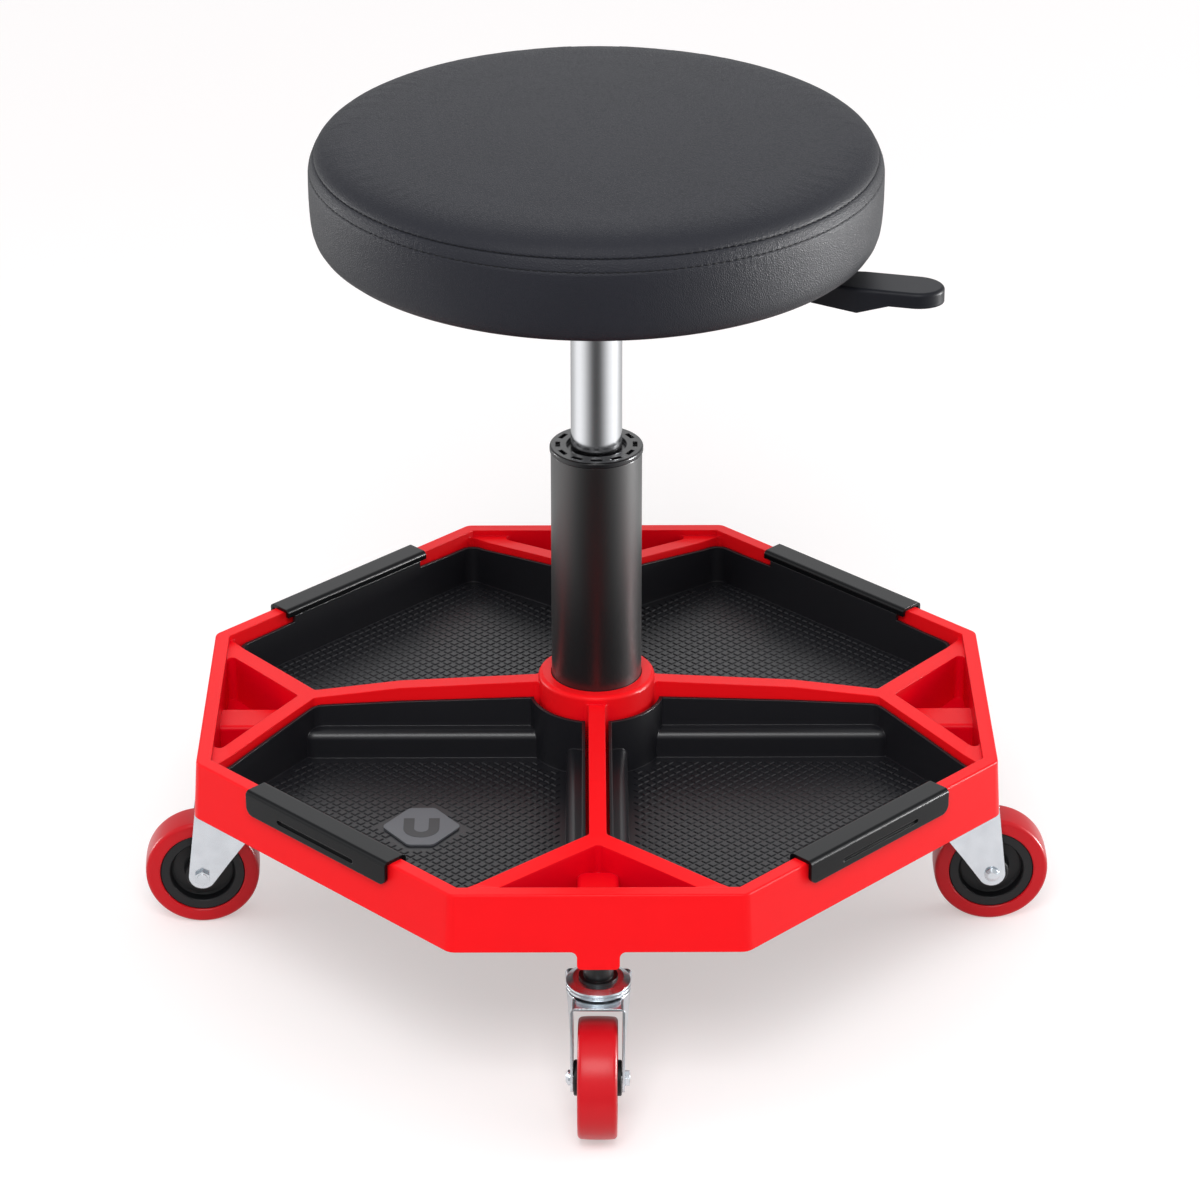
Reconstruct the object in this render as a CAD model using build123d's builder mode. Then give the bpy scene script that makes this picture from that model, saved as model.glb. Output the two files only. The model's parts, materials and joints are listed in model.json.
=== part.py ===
from build123d import *
import os
from math import atan2, cos, degrees, hypot, radians, sin, sqrt, tan

# Rolling work stool: a round padded seat on a gas lift, a moulded eight-sided base with four lift-out
# trays between its webs, and four swivel casters. Lengths are in millimetres and angles in degrees.
# The origin is on the floor under the column, +Z is up and the front is towards -Y.

overrun = 6.0  # how far a cutting shape runs past what it cuts
rest_gap = 0.3  # between pieces that lie close and can move apart
fit_gap = 0.05  # radial clearance of a shaft that turns or slides in its bore
bond_gap = 0.05  # between two pieces bonded or pressed together on a round face
root_two = sqrt(2)

# Moulded base frame
rim_top = 140.6
rim_depth = 33.3
rim_half = 219.0  # centre to a flat side, at the rim's top
rim_half_side = 76.9  # half of a short side, the kind that carries a caster
rim_width = 8.0
rim_skin = 2.6
rim_draft = 3.6
rim_corner = 9.0
rim_edge = 1.2
web_width = 9.2
arm_width = 10.0
web_fillet = 3.0
fork_radius = 161.0  # where a web splits into two arms
web_mid_radius = 110.0
web_top_hub = 152.0
web_top_mid = 148.0
web_top_fork = 141.6
web_top_rim = 137.0
web_hollow = 3.6
web_roof = 8.0
hub_radius = 32.5
hub_top = 156.5
hub_edge = 2.5
hub_floor = 4.0
hub_drain_radius = 12.0
beam_width = 22.4
beam_bottom = 97.0
beam_wall = 3.0
beam_roof = 3.5
beam_corner = 2.5
beam_flare = 3.5
tray_seat = 124.2  # top of a beam inside a bay, where the trays rest
socket_top = 127.0  # top of a beam outside the fork, over the caster's socket
socket_start = 171.0  # where that higher part begins, with a round end
socket_round = 6.0
tab_wall = 3.5
rib_width = 2.5
rib_radii = (75.0, 115.0, 152.0)
boss_radius = 9.0

# Lift-out trays, one in each bay
tray_gap = 1.8
tray_hub_gap = 3.3
tray_wall = 1.8
tray_bottom = 108.2
tray_floor = 2.0
tray_corner = 9.0
tray_top_hub = 143.5
tray_top_mid = 141.1
tray_top_fork = 138.4
tray_top_rim = 133.0
ledge_half = 17.0
ledge_reach = 166.0
ledge_corner = 8.0
ledge_sheet = 1.8
ledge_round = 5.0  # the ledge's long rounded edge
clip_length = 110.0
clip_sheet = 2.0
clip_inner_drop = 4.8
clip_outer_drop = 14.1
clip_overhang = 1.8  # the outer flange's clear gap from the rim's top edge
clip_corner = 5.0
clip_bend = 2.6
clip_slot_length = 60.0
clip_slot_height = 2.6
clip_slot_depth = 1.2
clip_slot_drop = 9.2
magnet_length = 43.2
magnet_width = 40.0
magnet_end = 14.0
magnet_sheet = 1.2
magnet_corner = 4.0
magnet_reach = 135.5

# Column and gas lift
tube_radius = 25.0
tube_wall = 2.0
tube_top = 293.0
tube_foot = 3.0  # height of the tube's closed end above its edge
tube_end = 3.0
tube_bore_gap = 0.4
bush_lip = 3.0
bush_lip_radius = 25.6
bush_length = 62.0
bush_lip_edge = 1.0
bush_recess = 2.4
bush_recess_radius = 16.6
bush_slots = 12
bush_slot_radius = 21.1
bush_slot_length = 6.4
bush_slot_width = 2.5
bush_slot_depth = 2.0
cylinder_radius = 14.0
cylinder_wall = 1.5
cylinder_bottom = 204.0
cylinder_top = 405.0
cylinder_neck_radius = 13.0
cylinder_neck = 28.0  # length of the tapered end
cylinder_head = 26.0  # closed part over the gas space
gland_length = 6.0
rod_radius = 5.0
rod_end_radius = 4.0
rod_foot = 99.6
piston_height = 12.0
piston_gap = 0.5  # between the gland and the piston at the top of the stroke
race_radius = 11.0
race_sheet = 2.0
race_ball_radius = 2.4
race_pitch = 7.7
race_balls = 8
bump_height = 9.7
bump_radius = 10.5
snap_ring_radius = 7.5
snap_ring_sheet = 1.2
snap_groove = 0.8
snap_drop = 0.8
button_radius = 3.5
button_bore_depth = 18.0
button_stand = 5.2

# Seat and its mounting plate
seat_radius = 152.5
seat_depth = 59.0
seam_drop = 17.5  # the seam's height under the middle of the seat
seat_roll = 10.0
seat_shoulder = 9.0
seat_shoulder_drop = 13.0
board_radius = 143.0
board_bottom = 424.0
board_height = 12.0
cover_turn_in = 118.0  # inner edge of the cover's turned-in hem
cover_sheet = 1.3
cover_wrap = 4.0  # how far the padded edge hangs below the board
cover_wrap_start = 128.0
plate_width = 150.0
plate_sheet = 2.5
plate_corner = 15.0
channel_width = 60.0
channel_length = 110.0
channel_depth = 24.5
channel_bend = 4.0
taper_socket_radius = 17.5
taper_socket_drop = 3.0  # the cylinder's end above the socket
screw_spacing = 116.0
screw_radius = 3.0
screw_length = 12.0
screw_head_radius = 5.5
screw_head = 3.2

# Height lever
lever_angle = -14.0  # the lever points a little to the front of +X
lever_pin_reach = 26.0
lever_rod_radius = 3.5
lever_pin_radius = 3.0
lever_eye_radius = 6.0
lever_eye_width = 9.0
lever_bend_start = 36.0
lever_bend_end = 70.0
lever_bend = 12.0
lever_tail = 2.0  # how far the rod runs past the button
handle_drop = 11.5  # the rod's axis inside the handle, below its axis over the button
handle_start = 104.0
handle_end = 188.3
handle_width = 26.0
handle_root_width = 16.0
handle_top = 3.2
handle_under = 3.4
handle_knee = 144.0
handle_knee_drop = 8.8
handle_knee_run = 17.0
handle_tip = 15.0  # length of the rounded end
handle_edge = 2.0
handle_socket = 46.0

# Swivel casters, all trailing outwards, two of them turned a little to one side
caster_radius = 205.0
caster_trail = 20.0
wheel_radius = 32.5
tyre_width = 21.0
tyre_depth = 8.5
tyre_shoulder = 2.4
hub_length = 25.4
hub_boss_radius = 9.5
hub_recess_radius = 18.3
hub_web = 8.0
hub_rim_inset = 0.8
fork_width = 28.8
fork_sheet = 1.5
fork_end_radius = 7.7
fork_back = 18.0
fork_front = 22.5
fork_leg_front = 28.0
fork_top = 76.6
fork_shoulder = 4.3
fork_bend = 3.0
fork_fold = 4.0  # the legs lean outwards behind this line
fork_flare = 3.4
fork_disc_radius = 17.0
axle_radius = 3.0
axle_length = 34.0
axle_head_radius = 4.2
axle_nut_width = 8.0
axle_nut = 2.4
stem_radius = 5.0
stem_depth = 24.0
stem_head_radius = 7.5
stem_head = 3.0
cup_radius = 17.1
cup_top = 82.8
cup_sheet = 1.6
cup_skirt = 5.2
cup_slope = 3.6
cup_groove = 0.8
cup_groove_drop = 2.9
caster_ball_radius = 2.1
caster_ball_pitch = 11.2
caster_balls = 8
collar_radius = 8.0
collar_flange_radius = 10.4
collar_flange = 1.2

# Worked out from the sizes above
skirt_bottom = rim_top - rim_depth
corner_cut = rim_half - rim_half_side
inner_half = rim_half - rim_width
inner_cut = corner_cut - rim_width * (2 - root_two)
inner_half_side = inner_half - inner_cut
diagonal_rim = (rim_half + rim_half_side) / root_two
diagonal_inner = diagonal_rim - rim_width
foot_spread = (rim_top - beam_bottom) * tan(radians(rim_draft))
web_top_reach = rim_half + rim_half_side / 2
arm_end_x = rim_half - rim_width / 2
arm_end_y = inner_half_side
arm_angle = degrees(atan2(arm_end_y, arm_end_x - fork_radius))
arm_length = hypot(arm_end_y, arm_end_x - fork_radius)
channel_roof = tray_seat - beam_roof
tray_base = tray_bottom + tray_floor
ledge_top = tray_seat + ledge_sheet
clip_top = rim_top + clip_sheet
tube_bottom = beam_bottom + hub_floor
tube_floor_top = tube_bottom + tube_foot + tube_end
bore_radius = tube_radius - tube_wall
bush_top = tube_top + bush_lip
gas_radius = cylinder_radius - cylinder_wall
race_top = tube_floor_top + 2 * race_sheet + 2 * race_ball_radius
piston_bottom = cylinder_bottom + gland_length + piston_gap
lever_height = cylinder_top + button_stand + rest_gap + lever_rod_radius
handle_height = lever_height - handle_drop
seat_bottom = board_bottom - cover_wrap
seat_top = seat_bottom + seat_depth
seat_seam = seat_top - seam_drop
plate_top = board_bottom
plate_under = plate_top - plate_sheet
channel_bottom = plate_under - channel_depth + plate_sheet
fork_under = fork_top - fork_sheet
arm_angles = (0, 90, 180, 270)
casters = {"right": 0, "back": 90, "left": 180, "front": 270}
caster_turns = {"right": 0, "back": 0, "left": 3, "front": -1}
trays = {"back_right": 0, "back_left": 90, "front_left": 180, "front_right": 270}

os.makedirs("parts", exist_ok=True)


def outward(angle):
    """The level direction that points away from the column at an angle."""
    return Vector(cos(radians(angle)), sin(radians(angle)), 0)


def level(height, angle=0, reach=0):
    """A level plane whose x axis points outwards at an angle, centred at a reach from the column."""
    direction = outward(angle)
    return Plane(origin=direction * reach + Vector(0, 0, height), x_dir=direction, z_dir=(0, 0, 1))


def across(angle, reach=0):
    """An upright plane square to a direction, with x to its left and y up."""
    direction = outward(angle)
    return Plane(origin=direction * reach, x_dir=(-direction.Y, direction.X, 0), z_dir=direction)


def along(angle, reach=0):
    """An upright plane that holds a direction, with x outwards and y up."""
    direction = outward(angle)
    return Plane(origin=direction * reach, x_dir=direction, z_dir=(direction.Y, -direction.X, 0))


def octagon(half, cut, corner=0):
    """The base's outline, flat: a square with its corners cut off and the new corners rounded."""
    with BuildSketch() as outline:
        Rectangle(2 * half, 2 * half)
        chamfer(outline.vertices(), cut)
        if corner:
            fillet(outline.vertices(), corner)
    return outline.sketch


def bay(height, start, inset, hub_inset, corner):
    """The space between two webs, their arms, the hub and the long side of the rim, drawn smaller by an inset."""
    near = web_width / 2 + inset
    hub_line = hub_radius + hub_inset
    slope = radians(arm_angle)
    arm_line = fork_radius * sin(slope) - arm_width / 2 - inset
    fork_x = (arm_line + near * cos(slope)) / sin(slope)
    wall_line = (diagonal_inner - inset) * root_two
    rim_x = (arm_line + wall_line * cos(slope)) / (sin(slope) + cos(slope))
    rim_y = wall_line - rim_x
    hub_x = sqrt(hub_line**2 - near**2)
    with BuildSketch(level(height, start)) as outline:
        with BuildLine():
            Polyline((hub_x, near), (fork_x, near), (rim_x, rim_y), (rim_y, rim_x), (near, fork_x), (near, hub_x))
            ThreePointArc((near, hub_x), (hub_line / root_two, hub_line / root_two), (hub_x, near))
        make_face()
        far_corners = outline.vertices().filter_by(lambda point: hypot(point.X, point.Y) > fork_radius / 2)
        fillet(far_corners, corner)
    return outline.sketch


def sloping_disc(base, heights):
    """A solid of revolution whose top slopes from the hub out to the rim through four heights."""
    at_hub, at_mid, at_fork, at_rim = heights
    with BuildPart() as disc:
        with BuildSketch(Plane.XZ):
            with BuildLine():
                Polyline(
                    (0, base), (0, at_hub), (hub_radius, at_hub), (web_mid_radius, at_mid),
                    (fork_radius, at_fork), (inner_half, at_rim), (web_top_reach, at_rim),
                    (web_top_reach, base), (0, base),
                )
            make_face()
        revolve(axis=Axis.Z)
    return disc.part


# Base frame
def socket_beam(angle):
    """The higher outer end of a beam, which holds a caster's stem, with its inner end rounded."""
    length = rim_half + foot_spread - socket_start
    with BuildPart() as beam:
        with BuildSketch(across(angle, socket_start)) as section:
            with Locations((0, (beam_bottom + socket_top) / 2)):
                Rectangle(beam_width, socket_top - beam_bottom)
            fillet(section.vertices().group_by(Axis.Y)[0], beam_corner)
        extrude(amount=length)
        with BuildSketch(level(beam_bottom, angle, socket_start)) as plan:
            with Locations((length / 2, 0)):
                Rectangle(length, beam_width)
            fillet(plan.vertices().group_by(Axis.X)[0], socket_round)
        extrude(amount=socket_top - beam_bottom, mode=Mode.INTERSECT)
        top_edges = beam.faces().sort_by(Axis.Z)[-1].edges()
        fillet(top_edges.sort_by_distance((0, 0, socket_top))[:-1], beam_corner)
    return beam.part


def make_spider():
    """Webs, forked arms, pocket floors and the beams that carry the casters, trimmed to the base's outline."""
    with BuildPart() as spider:
        add(sloping_disc(skirt_bottom, (web_top_hub, web_top_mid, web_top_fork, web_top_rim)))
        with BuildSketch(Plane.XY.offset(skirt_bottom)) as plan:
            add(octagon(inner_half + rim_skin, inner_cut + rim_skin * (2 - root_two)))
            add(octagon(inner_half, inner_cut), mode=Mode.SUBTRACT)
            Circle(hub_radius)
            with PolarLocations(fork_radius / 2, 4):
                Rectangle(fork_radius, web_width)
            with PolarLocations(0, 4):
                for side in (1, -1):
                    middle = ((fork_radius + arm_end_x) / 2, side * arm_end_y / 2, 0)
                    with Locations(Location(middle, (0, 0, side * arm_angle))):
                        Rectangle(arm_length, arm_width)
            outer_reach = hypot(inner_half + rim_skin, inner_half_side + rim_skin * (root_two - 1))
            joints = plan.vertices().filter_by(lambda point: hypot(point.X, point.Y) < outer_reach - rim_skin / 2)
            fillet(joints, web_fillet)
        extrude(amount=hub_top - skirt_bottom, mode=Mode.INTERSECT)
        for angle in arm_angles:
            with BuildSketch(across(angle)) as inner_beam:
                with Locations((0, (beam_bottom + tray_seat) / 2)):
                    Rectangle(beam_width, tray_seat - beam_bottom)
                fillet(inner_beam.vertices().group_by(Axis.Y)[0], beam_corner)
            extrude(amount=socket_start + socket_round)
            add(socket_beam(angle))
            with BuildSketch(across(angle, inner_half)) as flare:
                with Locations((0, skirt_bottom - beam_flare / 2)):
                    Rectangle(beam_width + 2 * beam_flare, beam_flare)
                with Locations((-beam_width / 2 - beam_flare, skirt_bottom - beam_flare)):
                    Circle(beam_flare, mode=Mode.SUBTRACT)
                with Locations((beam_width / 2 + beam_flare, skirt_bottom - beam_flare)):
                    Circle(beam_flare, mode=Mode.SUBTRACT)
            extrude(amount=rim_half - inner_half + foot_spread + overrun)
        floor_end = inner_half + rim_skin / 2
        floor_half = (floor_end - fork_radius) * tan(radians(arm_angle))
        with BuildSketch(Plane.XY.offset(skirt_bottom)):
            for angle in arm_angles:
                with BuildLine(level(0, angle)):
                    Polyline((fork_radius, 0), (floor_end, -floor_half), (floor_end, floor_half), (fork_radius, 0))
                make_face()
        extrude(amount=rim_skin)
        with BuildSketch(Plane.XY.offset(beam_bottom)):
            add(octagon(rim_half + foot_spread, corner_cut + foot_spread * (2 - root_two), rim_corner))
        extrude(amount=hub_top - beam_bottom + overrun, taper=rim_draft, mode=Mode.INTERSECT)
    return spider.part


def make_base_frame():
    """The whole moulding: double-walled rim, webs, hub and hollow beams with a socket for each caster."""
    with BuildPart() as base_frame:
        with BuildSketch(Plane.XY.offset(beam_bottom)):
            add(octagon(rim_half + foot_spread, corner_cut + foot_spread * (2 - root_two), rim_corner))
        extrude(amount=rim_top - beam_bottom, taper=rim_draft)
        split(bisect_by=Plane.XY.offset(skirt_bottom), keep=Keep.TOP)
        fillet(base_frame.faces().sort_by(Axis.Z)[-1].edges(), rim_edge)
        with BuildSketch(Plane.XY.offset(skirt_bottom)):
            add(octagon(inner_half, inner_cut))
        extrude(amount=rim_depth + overrun, mode=Mode.SUBTRACT)
        with BuildSketch(Plane.XY.offset(skirt_bottom)):
            outer_inset = rim_half - rim_skin
            add(octagon(outer_inset, corner_cut - rim_skin * (2 - root_two), rim_corner))
            add(octagon(inner_half + rim_skin, inner_cut + rim_skin * (2 - root_two)), mode=Mode.SUBTRACT)
        extrude(amount=rim_depth - rim_skin, mode=Mode.SUBTRACT)
        add(make_spider())
        with BuildSketch(Plane.XY.offset(beam_bottom)):
            Circle(hub_radius)
        extrude(amount=hub_top - beam_bottom)
        fillet(base_frame.faces().sort_by(Axis.Z)[-1].edges(), hub_edge)
        for angle in arm_angles:
            with BuildSketch(across(angle, hub_radius)):
                with Locations((0, (beam_bottom - overrun + channel_roof) / 2)):
                    Rectangle(beam_width - 2 * beam_wall, channel_roof - beam_bottom + overrun)
            extrude(amount=rim_half - tab_wall - hub_radius, mode=Mode.SUBTRACT)
            web_hollow_top = web_top_fork - web_roof
            with BuildSketch(across(angle, hub_radius + tube_wall)):
                with Locations((0, (beam_bottom + web_hollow_top) / 2)):
                    Rectangle(web_hollow, web_hollow_top - beam_bottom)
            extrude(amount=fork_radius - web_width - hub_radius - tube_wall, mode=Mode.SUBTRACT)
            for rib_radius in rib_radii:
                with BuildSketch(across(angle, rib_radius)):
                    with Locations((0, (beam_bottom + beam_corner + channel_roof) / 2)):
                        Rectangle(beam_width - beam_wall, channel_roof - beam_bottom - beam_corner)
                extrude(amount=rib_width)
        with BuildSketch(Plane.XY.offset(beam_bottom)):
            with PolarLocations(caster_radius, 4):
                Circle(boss_radius)
        extrude(amount=channel_roof - beam_bottom + fit_gap)
        with BuildSketch(Plane.XY.offset(beam_bottom)):
            with PolarLocations(caster_radius, 4):
                Circle(stem_radius + bond_gap)
        extrude(amount=stem_depth, mode=Mode.SUBTRACT)
        with BuildSketch(Plane.XY.offset(tube_bottom)):
            Circle(tube_radius + tube_bore_gap)
        extrude(amount=hub_top - tube_bottom + overrun, mode=Mode.SUBTRACT)
        with BuildSketch(Plane.XY.offset(beam_bottom)):
            Circle(hub_drain_radius)
        extrude(amount=hub_floor, mode=Mode.SUBTRACT)
    base_frame.part.label = "base_frame"
    export_step(base_frame.part, "parts/base_frame.step")


# Trays
def make_tray(name, start):
    """A tray that fills one bay, with a ledge along each web that rests on the beam under it."""
    with BuildPart() as tray:
        add(bay_block(start))
        walls = tray_gap + tray_wall
        hub_walls = tray_hub_gap + tray_wall
        extrude(
            bay(ledge_top, start, walls, hub_walls, tray_corner - tray_wall),
            amount=tray_top_hub - ledge_top + overrun, mode=Mode.SUBTRACT,
        )
        with BuildPart(mode=Mode.SUBTRACT):
            extrude(bay(tray_base, start, walls, hub_walls, tray_corner - tray_wall), amount=ledge_top - tray_base)
            for turn in (0, 90):
                ridge = ledge_block(tray_base - overrun, ledge_top, start + turn, 0, ledge_round)
                add(ridge, mode=Mode.SUBTRACT)
        for turn in (0, 90):
            underside = ledge_block(
                tray_bottom - overrun, tray_seat, start + turn, ledge_sheet, ledge_round - ledge_sheet
            )
            add(underside, mode=Mode.SUBTRACT)
        tab_face = diagonal_inner - tray_gap
        with BuildSketch(level(tray_base, start + 45)):
            with Locations((tab_face - tray_wall / 2, 0)):
                Rectangle(tray_wall, clip_length - 2 * clip_corner)
        extrude(amount=rim_top - clip_inner_drop + clip_sheet - tray_base)
    tray.part.label = name
    export_step(tray.part, f"parts/{name}.step")


def ledge_block(bottom, top, angle, inset, round_size):
    """A long block along a web with rounded corners and top edges: a tray's ledge, or the hollow under it."""
    with BuildPart() as block:
        with BuildSketch(level(bottom, angle)):
            with Locations(((ledge_reach - inset) / 2, 0)):
                RectangleRounded(ledge_reach - inset, 2 * (ledge_half - inset), ledge_corner - inset)
        extrude(amount=top - bottom)
        fillet(block.faces().sort_by(Axis.Z)[-1].edges(), round_size)
    return block.part


def bay_block(start):
    """A tray's outside as one block, with its sloping rim."""
    with BuildPart() as block:
        add(sloping_disc(tray_bottom, (tray_top_hub, tray_top_mid, tray_top_fork, tray_top_rim)))
        outline = bay(tray_bottom, start, tray_gap, tray_hub_gap, tray_corner)
        extrude(outline, amount=tray_top_hub - tray_bottom, mode=Mode.INTERSECT)
    return block.part


def make_clip(name, start):
    """A folded steel clip that hooks over the rim and carries the tray's outer edge."""
    inner_face = diagonal_inner - tray_gap - tray_wall
    outer_face = diagonal_rim + clip_overhang + clip_sheet
    facing = start + 45
    with BuildPart() as clip:
        with BuildSketch(along(facing)) as section:
            with BuildLine():
                Polyline(
                    (inner_face, clip_top - clip_inner_drop), (inner_face, clip_top), (outer_face, clip_top),
                    (outer_face, clip_top - clip_outer_drop), (outer_face - clip_sheet, clip_top - clip_outer_drop),
                    (outer_face - clip_sheet, rim_top), (inner_face + clip_sheet, rim_top),
                    (inner_face + clip_sheet, clip_top - clip_inner_drop), (inner_face, clip_top - clip_inner_drop),
                )
            make_face()
            fillet(section.vertices().filter_by_position(Axis.Y, clip_top, clip_top), clip_bend)
        extrude(amount=clip_length / 2, both=True)
        sheet_edges = clip.edges().filter_by(lambda edge: abs(edge.length - clip_sheet) < bond_gap)
        fillet(sheet_edges.group_by(Axis.Z)[0], clip_corner)
        slot_height = clip_top - clip_slot_drop
        with BuildSketch(across(facing, outer_face - clip_slot_depth)):
            with Locations((0, slot_height)):
                SlotOverall(clip_slot_length, clip_slot_height)
        extrude(amount=clip_slot_depth + overrun, mode=Mode.SUBTRACT)
    clip.part.label = name
    export_step(clip.part, f"parts/{name}.step")


def make_tray_magnet():
    """The flat six-sided magnet plate on the floor of the front left tray, square to the front."""
    centre = outward(trays["front_left"] + 45) * magnet_reach
    with BuildPart() as magnet:
        with BuildSketch(Plane(origin=(centre.X, centre.Y, tray_base), z_dir=(0, 0, 1))) as outline:
            with BuildLine():
                Polyline(
                    (-magnet_length / 2, 0), (-magnet_end / 2, magnet_width / 2), (magnet_end / 2, magnet_width / 2),
                    (magnet_length / 2, 0), (magnet_end / 2, -magnet_width / 2), (-magnet_end / 2, -magnet_width / 2),
                    (-magnet_length / 2, 0),
                )
            make_face()
            fillet(outline.vertices(), magnet_corner)
        extrude(amount=magnet_sheet)
    magnet.part.label = "tray_magnet"
    export_step(magnet.part, "parts/tray_magnet.step")


# Column and gas lift
def make_column_tube():
    """The outer tube with its closed lower end, which stands on the hub's floor."""
    with BuildPart() as column_tube:
        with BuildSketch(Plane.XY.offset(tube_bottom)):
            Circle(tube_radius)
        extrude(amount=tube_top - tube_bottom)
        with BuildSketch(Plane.XY.offset(tube_floor_top)):
            Circle(bore_radius)
        extrude(amount=tube_top - tube_floor_top, mode=Mode.SUBTRACT)
        with BuildSketch(Plane.XY.offset(tube_bottom)):
            Circle(bore_radius)
        extrude(amount=tube_foot, mode=Mode.SUBTRACT)
        with BuildSketch(Plane.XY.offset(tube_bottom)):
            Circle(rod_end_radius + rest_gap)
        extrude(amount=tube_foot + tube_end, mode=Mode.SUBTRACT)
    column_tube.part.label = "column_tube"
    export_step(column_tube.part, "parts/column_tube.step")


def make_guide_bush():
    """The plastic bush that closes the tube and guides the gas cylinder, with a ring of lightening slots."""
    with BuildPart() as guide_bush:
        with BuildSketch(Plane.XY.offset(tube_top - bush_length)):
            Circle(bore_radius - bond_gap)
        extrude(amount=bush_length)
        with BuildSketch(Plane.XY.offset(tube_top)):
            Circle(bush_lip_radius)
        extrude(amount=bush_lip)
        fillet(guide_bush.faces().sort_by(Axis.Z)[-1].edges(), bush_lip_edge)
        with BuildSketch(Plane.XY.offset(bush_top - bush_recess)):
            Circle(bush_recess_radius)
        extrude(amount=bush_recess, mode=Mode.SUBTRACT)
        with BuildSketch(Plane.XY.offset(bush_top - bush_slot_depth)):
            with PolarLocations(bush_slot_radius, bush_slots):
                Rectangle(bush_slot_width, bush_slot_length)
        extrude(amount=bush_slot_depth, mode=Mode.SUBTRACT)
        with BuildSketch(Plane.XY.offset(tube_top - bush_length)):
            Circle(cylinder_radius + fit_gap)
        extrude(amount=bush_length + bush_lip, mode=Mode.SUBTRACT)
    guide_bush.part.label = "guide_bush"
    export_step(guide_bush.part, "parts/guide_bush.step")


def make_races():
    """The thrust bearing at the foot of the piston rod: a fixed race, a ring of balls and a turning race."""
    with BuildPart() as lower_race:
        with BuildSketch(Plane.XY.offset(tube_floor_top)):
            Circle(race_radius)
            Circle(rod_end_radius + rest_gap, mode=Mode.SUBTRACT)
        extrude(amount=race_sheet)
    lower_race.part.label = "lower_race"
    export_step(lower_race.part, "parts/lower_race.step")

    with BuildPart() as race_ball_ring:
        with Locations((0, 0, tube_floor_top + race_sheet + race_ball_radius)):
            with PolarLocations(race_pitch, race_balls):
                Sphere(race_ball_radius - fit_gap)
    race_ball_ring.part.label = "thrust_balls"
    export_step(race_ball_ring.part, "parts/thrust_balls.step")

    with BuildPart() as upper_race:
        with BuildSketch(Plane.XY.offset(race_top - race_sheet)):
            Circle(race_radius)
            Circle(rod_end_radius + bond_gap, mode=Mode.SUBTRACT)
        extrude(amount=race_sheet)
    upper_race.part.label = "upper_race"
    export_step(upper_race.part, "parts/upper_race.step")


def make_piston_rod():
    """The rod stands on the upper race and is held down by a snap ring in the groove near its foot."""
    ring_top = tube_bottom + tube_foot - snap_drop
    with BuildPart() as piston_rod:
        with BuildSketch(Plane.XY.offset(race_top)):
            Circle(rod_radius)
        extrude(amount=piston_bottom + piston_height - race_top)
        with BuildSketch(Plane.XY.offset(rod_foot)):
            Circle(rod_end_radius)
        extrude(amount=race_top - rod_foot)
        with BuildSketch(Plane.XY.offset(ring_top - snap_ring_sheet)):
            Circle(rod_end_radius)
            Circle(rod_end_radius - snap_groove, mode=Mode.SUBTRACT)
        extrude(amount=snap_ring_sheet, mode=Mode.SUBTRACT)
    piston_rod.part.label = "piston_rod"
    export_step(piston_rod.part, "parts/piston_rod.step")

    with BuildPart() as snap_ring:
        with BuildSketch(Plane.XY.offset(ring_top - snap_ring_sheet)):
            Circle(snap_ring_radius)
            Circle(rod_end_radius - snap_groove + bond_gap, mode=Mode.SUBTRACT)
            with Locations((snap_ring_radius, 0)):
                Rectangle(2 * snap_ring_radius - 2 * snap_groove, 2 * (rod_end_radius - 2 * snap_groove),
                          mode=Mode.SUBTRACT)
        extrude(amount=snap_ring_sheet)
    snap_ring.part.label = "snap_ring"
    export_step(snap_ring.part, "parts/snap_ring.step")

    with BuildPart() as bump_stop:
        with BuildSketch(Plane.XY.offset(race_top)):
            Circle(bump_radius)
            Circle(rod_radius + bond_gap, mode=Mode.SUBTRACT)
        extrude(amount=bump_height)
    bump_stop.part.label = "bump_stop"
    export_step(bump_stop.part, "parts/bump_stop.step")

    with BuildPart() as gas_piston:
        with BuildSketch(Plane.XY.offset(piston_bottom)):
            Circle(gas_radius - fit_gap)
            Circle(rod_radius + bond_gap, mode=Mode.SUBTRACT)
        extrude(amount=piston_height)
    gas_piston.part.label = "gas_piston"
    export_step(gas_piston.part, "parts/gas_piston.step")


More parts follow.
